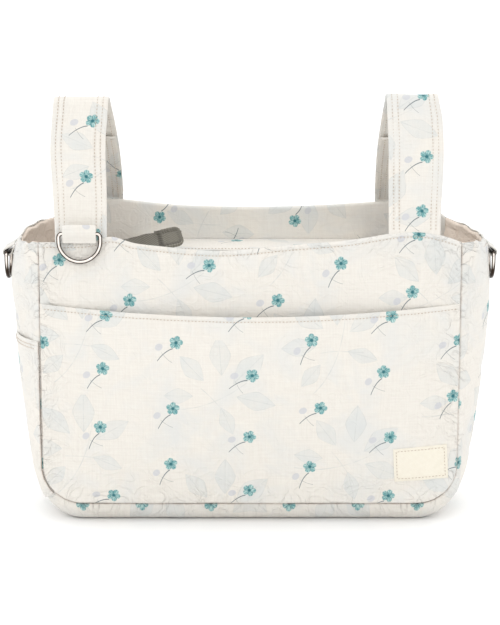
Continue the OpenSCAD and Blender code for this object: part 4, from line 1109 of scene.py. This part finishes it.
root_z, round_bar = body_h - 10.0, 3.25
for side, name in ((-1, "left"), (1, "right")):
    low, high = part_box(name + "_ring_tab")
    ring_low, ring_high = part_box(name + "_d_ring")
    bar = np.array([(ring_low.x + ring_high.x) / 2 / MM, 0, ring_high.z / MM - wire_r])
    inner = min(abs(low.x), abs(high.x)) / MM + 0.4 - top_lean(side, root_z)
    root = np.array([side * inner, root_z])
    v = bar[[0, 2]] - root
    dist = np.hypot(*v)
    t0 = math.atan2(v[1], v[0]) + side * (math.asin(round_bar / dist) + math.pi / 2)
    arc = (t0 - side * np.linspace(0, math.pi, 16))[:, None]
    touch = bar[[0, 2]] + round_bar * np.hstack([np.cos(arc), np.sin(arc)])
    k = np.linspace(0, 1, 10)[:, None]
    start = root + [0, 1.2]
    # under the bar the strip comes back against itself: 6.5 apart at the bar, 2.3 once it lies flat
    below = (touch[-1] - touch[0]) * (1 - 0.65 * smooth((dist * k[1:] - 2.6) / 6))
    flat = np.concatenate([start + (touch[0] - start) * k[:-1], touch,
                           touch[0] + (start - touch[0]) * k[1:] + below])
    tab = loop_band(name + "_ring_tab_cloth", xyz(flat[:, 0], 0, flat[:, 1]), AXIS_Y, bar, 1.0)
    fit(tab, "bag", "strap_cotton", name + "_ring_tab")

# ---- Patch ----
# A small bare patch of undyed cotton twill, sewn on near the lower right corner of the pocket.
patch_w, patch_h = 41.0, 27.0
patch_row = 2.2  # from its edge in to its row of stitches
patch_turn = math.radians(-4)
patch_x, patch_z = half_w - 28, 50.0


def bare_twill(node):
    """Undyed cotton twill, pressed flat: cream, matt, with a diagonal rib. Ribs are about 0.5 mm;
    they are drawn at 1 mm so that they show."""
    cloth = place_on_cloth(node)
    rib = node("TexWave", cloth, bands_direction="DIAGONAL", Scale=0.3, Distortion=0.5, Detail=1.0,
               out="Fac")
    tone = node("TexNoise", cloth, Scale=0.3, Detail=3.0)
    return (node("Mix RGBA", tone, "#e3dccc", "#ece7da"),
            node("Bump", Strength=0.4, Distance=0.00015, Height=rib))


def patch_place(a, b, lift):
    """A point on the patch, a across and b up from its middle, lying on the pocket's outer face."""
    x = patch_x + a * math.cos(patch_turn) + b * math.sin(patch_turn)
    z = patch_z - a * math.sin(patch_turn) + b * math.cos(patch_turn)
    return xyz(x, -half_d - pocket_out(x, z) - lift, z)


twill = new_material("undyed_cotton_twill", bare_twill, Roughness=0.85, Specular_IOR_Level=0.25)
a = np.linspace(-patch_w / 2, patch_w / 2, 42)[:, None]
b = np.linspace(-patch_h / 2, patch_h / 2, 28)[None, :]
d = np.minimum(patch_w / 2 - np.abs(a), patch_h / 2 - np.abs(b))
lift = 1.0 - 0.45 * np.exp(-d / 0.5) - 0.25 * bell(d - patch_row, 0.6)
patch = ply("label_patch_twill", patch_place(a, b, lift), 0.8, (a, b), twill, back=AXIS_Y)
fit(patch, "bag", "patch_cloth", "label_patch")
k, corners = np.linspace(0, 4, 121), np.array([-1, 1, 1, -1, -1])
path = patch_place((patch_w / 2 - patch_row) * np.interp(k, np.arange(5), corners),
                   (patch_h / 2 - patch_row) * np.interp((k + 3) % 4, np.arange(5), corners), 0.85)
sewn = stitches("patch_stitches", [(path, np.broadcast_to(-AXIS_Y, path.shape))], 1.7, 0.28)
fit(sewn, "bag", "strap_cotton")

# ---- Stitching on the hems ----
# One row of thread 3.6 mm below each hem, through all plies, and two on the side pocket.
rows = []
x = np.linspace(-half_w + 3, half_w - 3, 240)
for side, hem, cloth_out in ((-1, hem_z(-1, x), partial(panel_out, -1)),
                             (1, hem_z(1, x), partial(panel_out, 1)), (-1, pocket_hem(x), pocket_out)):
    z = hem - hem_row
    rows.append((xyz(x, side * (half_d + cloth_out(x, z) + 0.1), z), xyz(0 * x, side, 0)))
t = np.linspace(-0.93, 0.93, 60)
for side in (-1, 1):
    edge = rumple(gusset_point(side * (half_s[-1] - 4.2) + 0 * t, t))
    rows.append((edge + side * 0.25 * AXIS_X, xyz(side + 0 * t, 0, 0)))
for down in (3.4, 6.0):
    hem_line, n = side_pocket_grid(np.array([[top_s - down], [top_s - down + 0.1]]), t[None, :])
    rows.append((hem_line[0] + n[0] * 0.1, n[0]))
fit(stitches("hem_stitches", rows), "bag", "strap_cotton")
u = np.linspace(-flap_end + 2, flap_end - 2, 120)
for side, name in FACES:
    rows = [(xyz(u, side * (flap_edge + flap_row), zip_z + 0.72), xyz(0 * u, 0, 1))]
    fit(stitches(name + "_flap_stitches", rows), name + "_flap", "strap_cotton")

# ---- Wadding and base board ----
# Hidden inside: polyester wadding between cloth and lining, cut short of the seams and pressed to the
# cloth's form, and a stiff sheet on the floor lining.
wad_inset, wad_t = 5, 1.6
wad_under = 1.2  # from the cloth's outer face in to the wadding's
# needled polyester: white, no gloss, a cloudy tangle of fibres
tangle = grained("#e2e0da", "#f8f7f3", 0.8, 0.0006, Scale=420.0, Detail=5.0, Distortion=2.0)
fibre = new_material("needled_polyester_wadding", tangle, Roughness=0.95, Sheen_Weight=0.3)
wads = []
for side, name in FACES:
    x = columns(inset=wad_inset)
    z = upright(panel_foot(x * half_w / (half_w - wad_inset)) + wad_inset, hem_z(side, x) - 13)
    x = x[:, None]
    grid = xyz(x, side * (half_d + panel_out(side, x, z) - wad_under), z)
    wads.append((name, grid, (x, z), -side * AXIS_Y))
gusset_n = normals(outer_gusset, outer_gusset - bag_middle)
grid = (outer_gusset - wad_under * gusset_n)[6:-6, 6:-6]
wads.append(("gusset", grid, (half_d * gusset_t[:, 6:-6], gusset_s[6:-6]), bag_middle - grid))
for name, grid, uv, back in wads:
    wad = ply(name + "_wadding_fleece", grid, wad_t, uv, fibre, back=back)
    fit(wad, "bag", "wadding", name + "_wadding")
# extruded polypropylene, dark grey, with a fine matt grain
matt = grained("#34322f", "#45423e", 0.4, 0.00008, Scale=1100.0, Detail=3.0)
dressed_nodes(new_material("extruded_polypropylene_sheet", matt, Roughness=0.55, IOR=1.49), "base_board")

# ---- Floor, light and camera ----
# A white table in an even light tent, with a soft light from the front left, and a long lens that
# looks down by 12 degrees.


def paper_tooth(node):
    """White paper: matt, with a faint tooth."""
    tooth = node("TexNoise", node("TexCoord", out="Object"), Scale=300.0)
    return "#fcfcfc", node("Bump", Strength=0.05, Distance=0.0002, Height=tooth)


paper = new_material("white_paper", paper_tooth, Roughness=0.9, Specular_IOR_Level=0.1)
table_half = 4000
corners = table_half * np.array([[-1, -1, 0], [1, -1, 0], [1, 1, 0], [-1, 1, 0]])
new_piece("table", corners, np.array([[0, 1, 2, 3]]), paper)

# the tent is brighter straight behind the bag and overhead than in front
world = bpy.data.worlds.new("studio")
bpy.context.scene.world = world
world.use_nodes = True
tree = world.node_tree
node = partial(add_node, tree)
_, back, above = node("SeparateXYZ", node("TexCoord", out="Generated"), out=slice(3))
back = node("Math POWER", node("Math MAXIMUM", back, 0.0), 4.0)
glow = node("Math MULTIPLY_ADD", above, 1.6, back)
glow = node("MapRange", glow, -0.3, 1.0, 0.74, 1.36, interpolation_type="SMOOTHSTEP")
tree.links.new(glow, tree.nodes["Background"].inputs["Strength"])
tree.nodes["Background"].inputs["Color"].default_value = (1, 1, 1, 1)


def turned_to(place, aim):
    """The rotation that turns a light or a camera at a place to face aim."""
    return (Vector(aim) - Vector(place)).to_track_quat("-Z", "Y").to_euler()


light = bpy.data.lights.new("key", "AREA")
light.size, light.energy = 0.5, 2.2
lamp = bpy.data.objects.new("key", light)
lamp.location = (-1.25, -1.15, 1.4)
lamp.rotation_euler = turned_to(lamp.location, (0, 0, 0.12))
bpy.context.scene.collection.objects.link(lamp)

camera = bpy.data.cameras.new("camera")
camera.sensor_fit, camera.sensor_width = "HORIZONTAL", 36
camera.lens = 136
camera.clip_end = 20
eye = bpy.data.objects.new("camera", camera)
eye.location = (0, -1.4416, 0.465)
eye.rotation_euler = turned_to(eye.location, (0, 0, 0.153))
bpy.context.scene.collection.objects.link(eye)
bpy.context.scene.camera = eye
bpy.context.scene.view_settings.view_transform = "Standard"
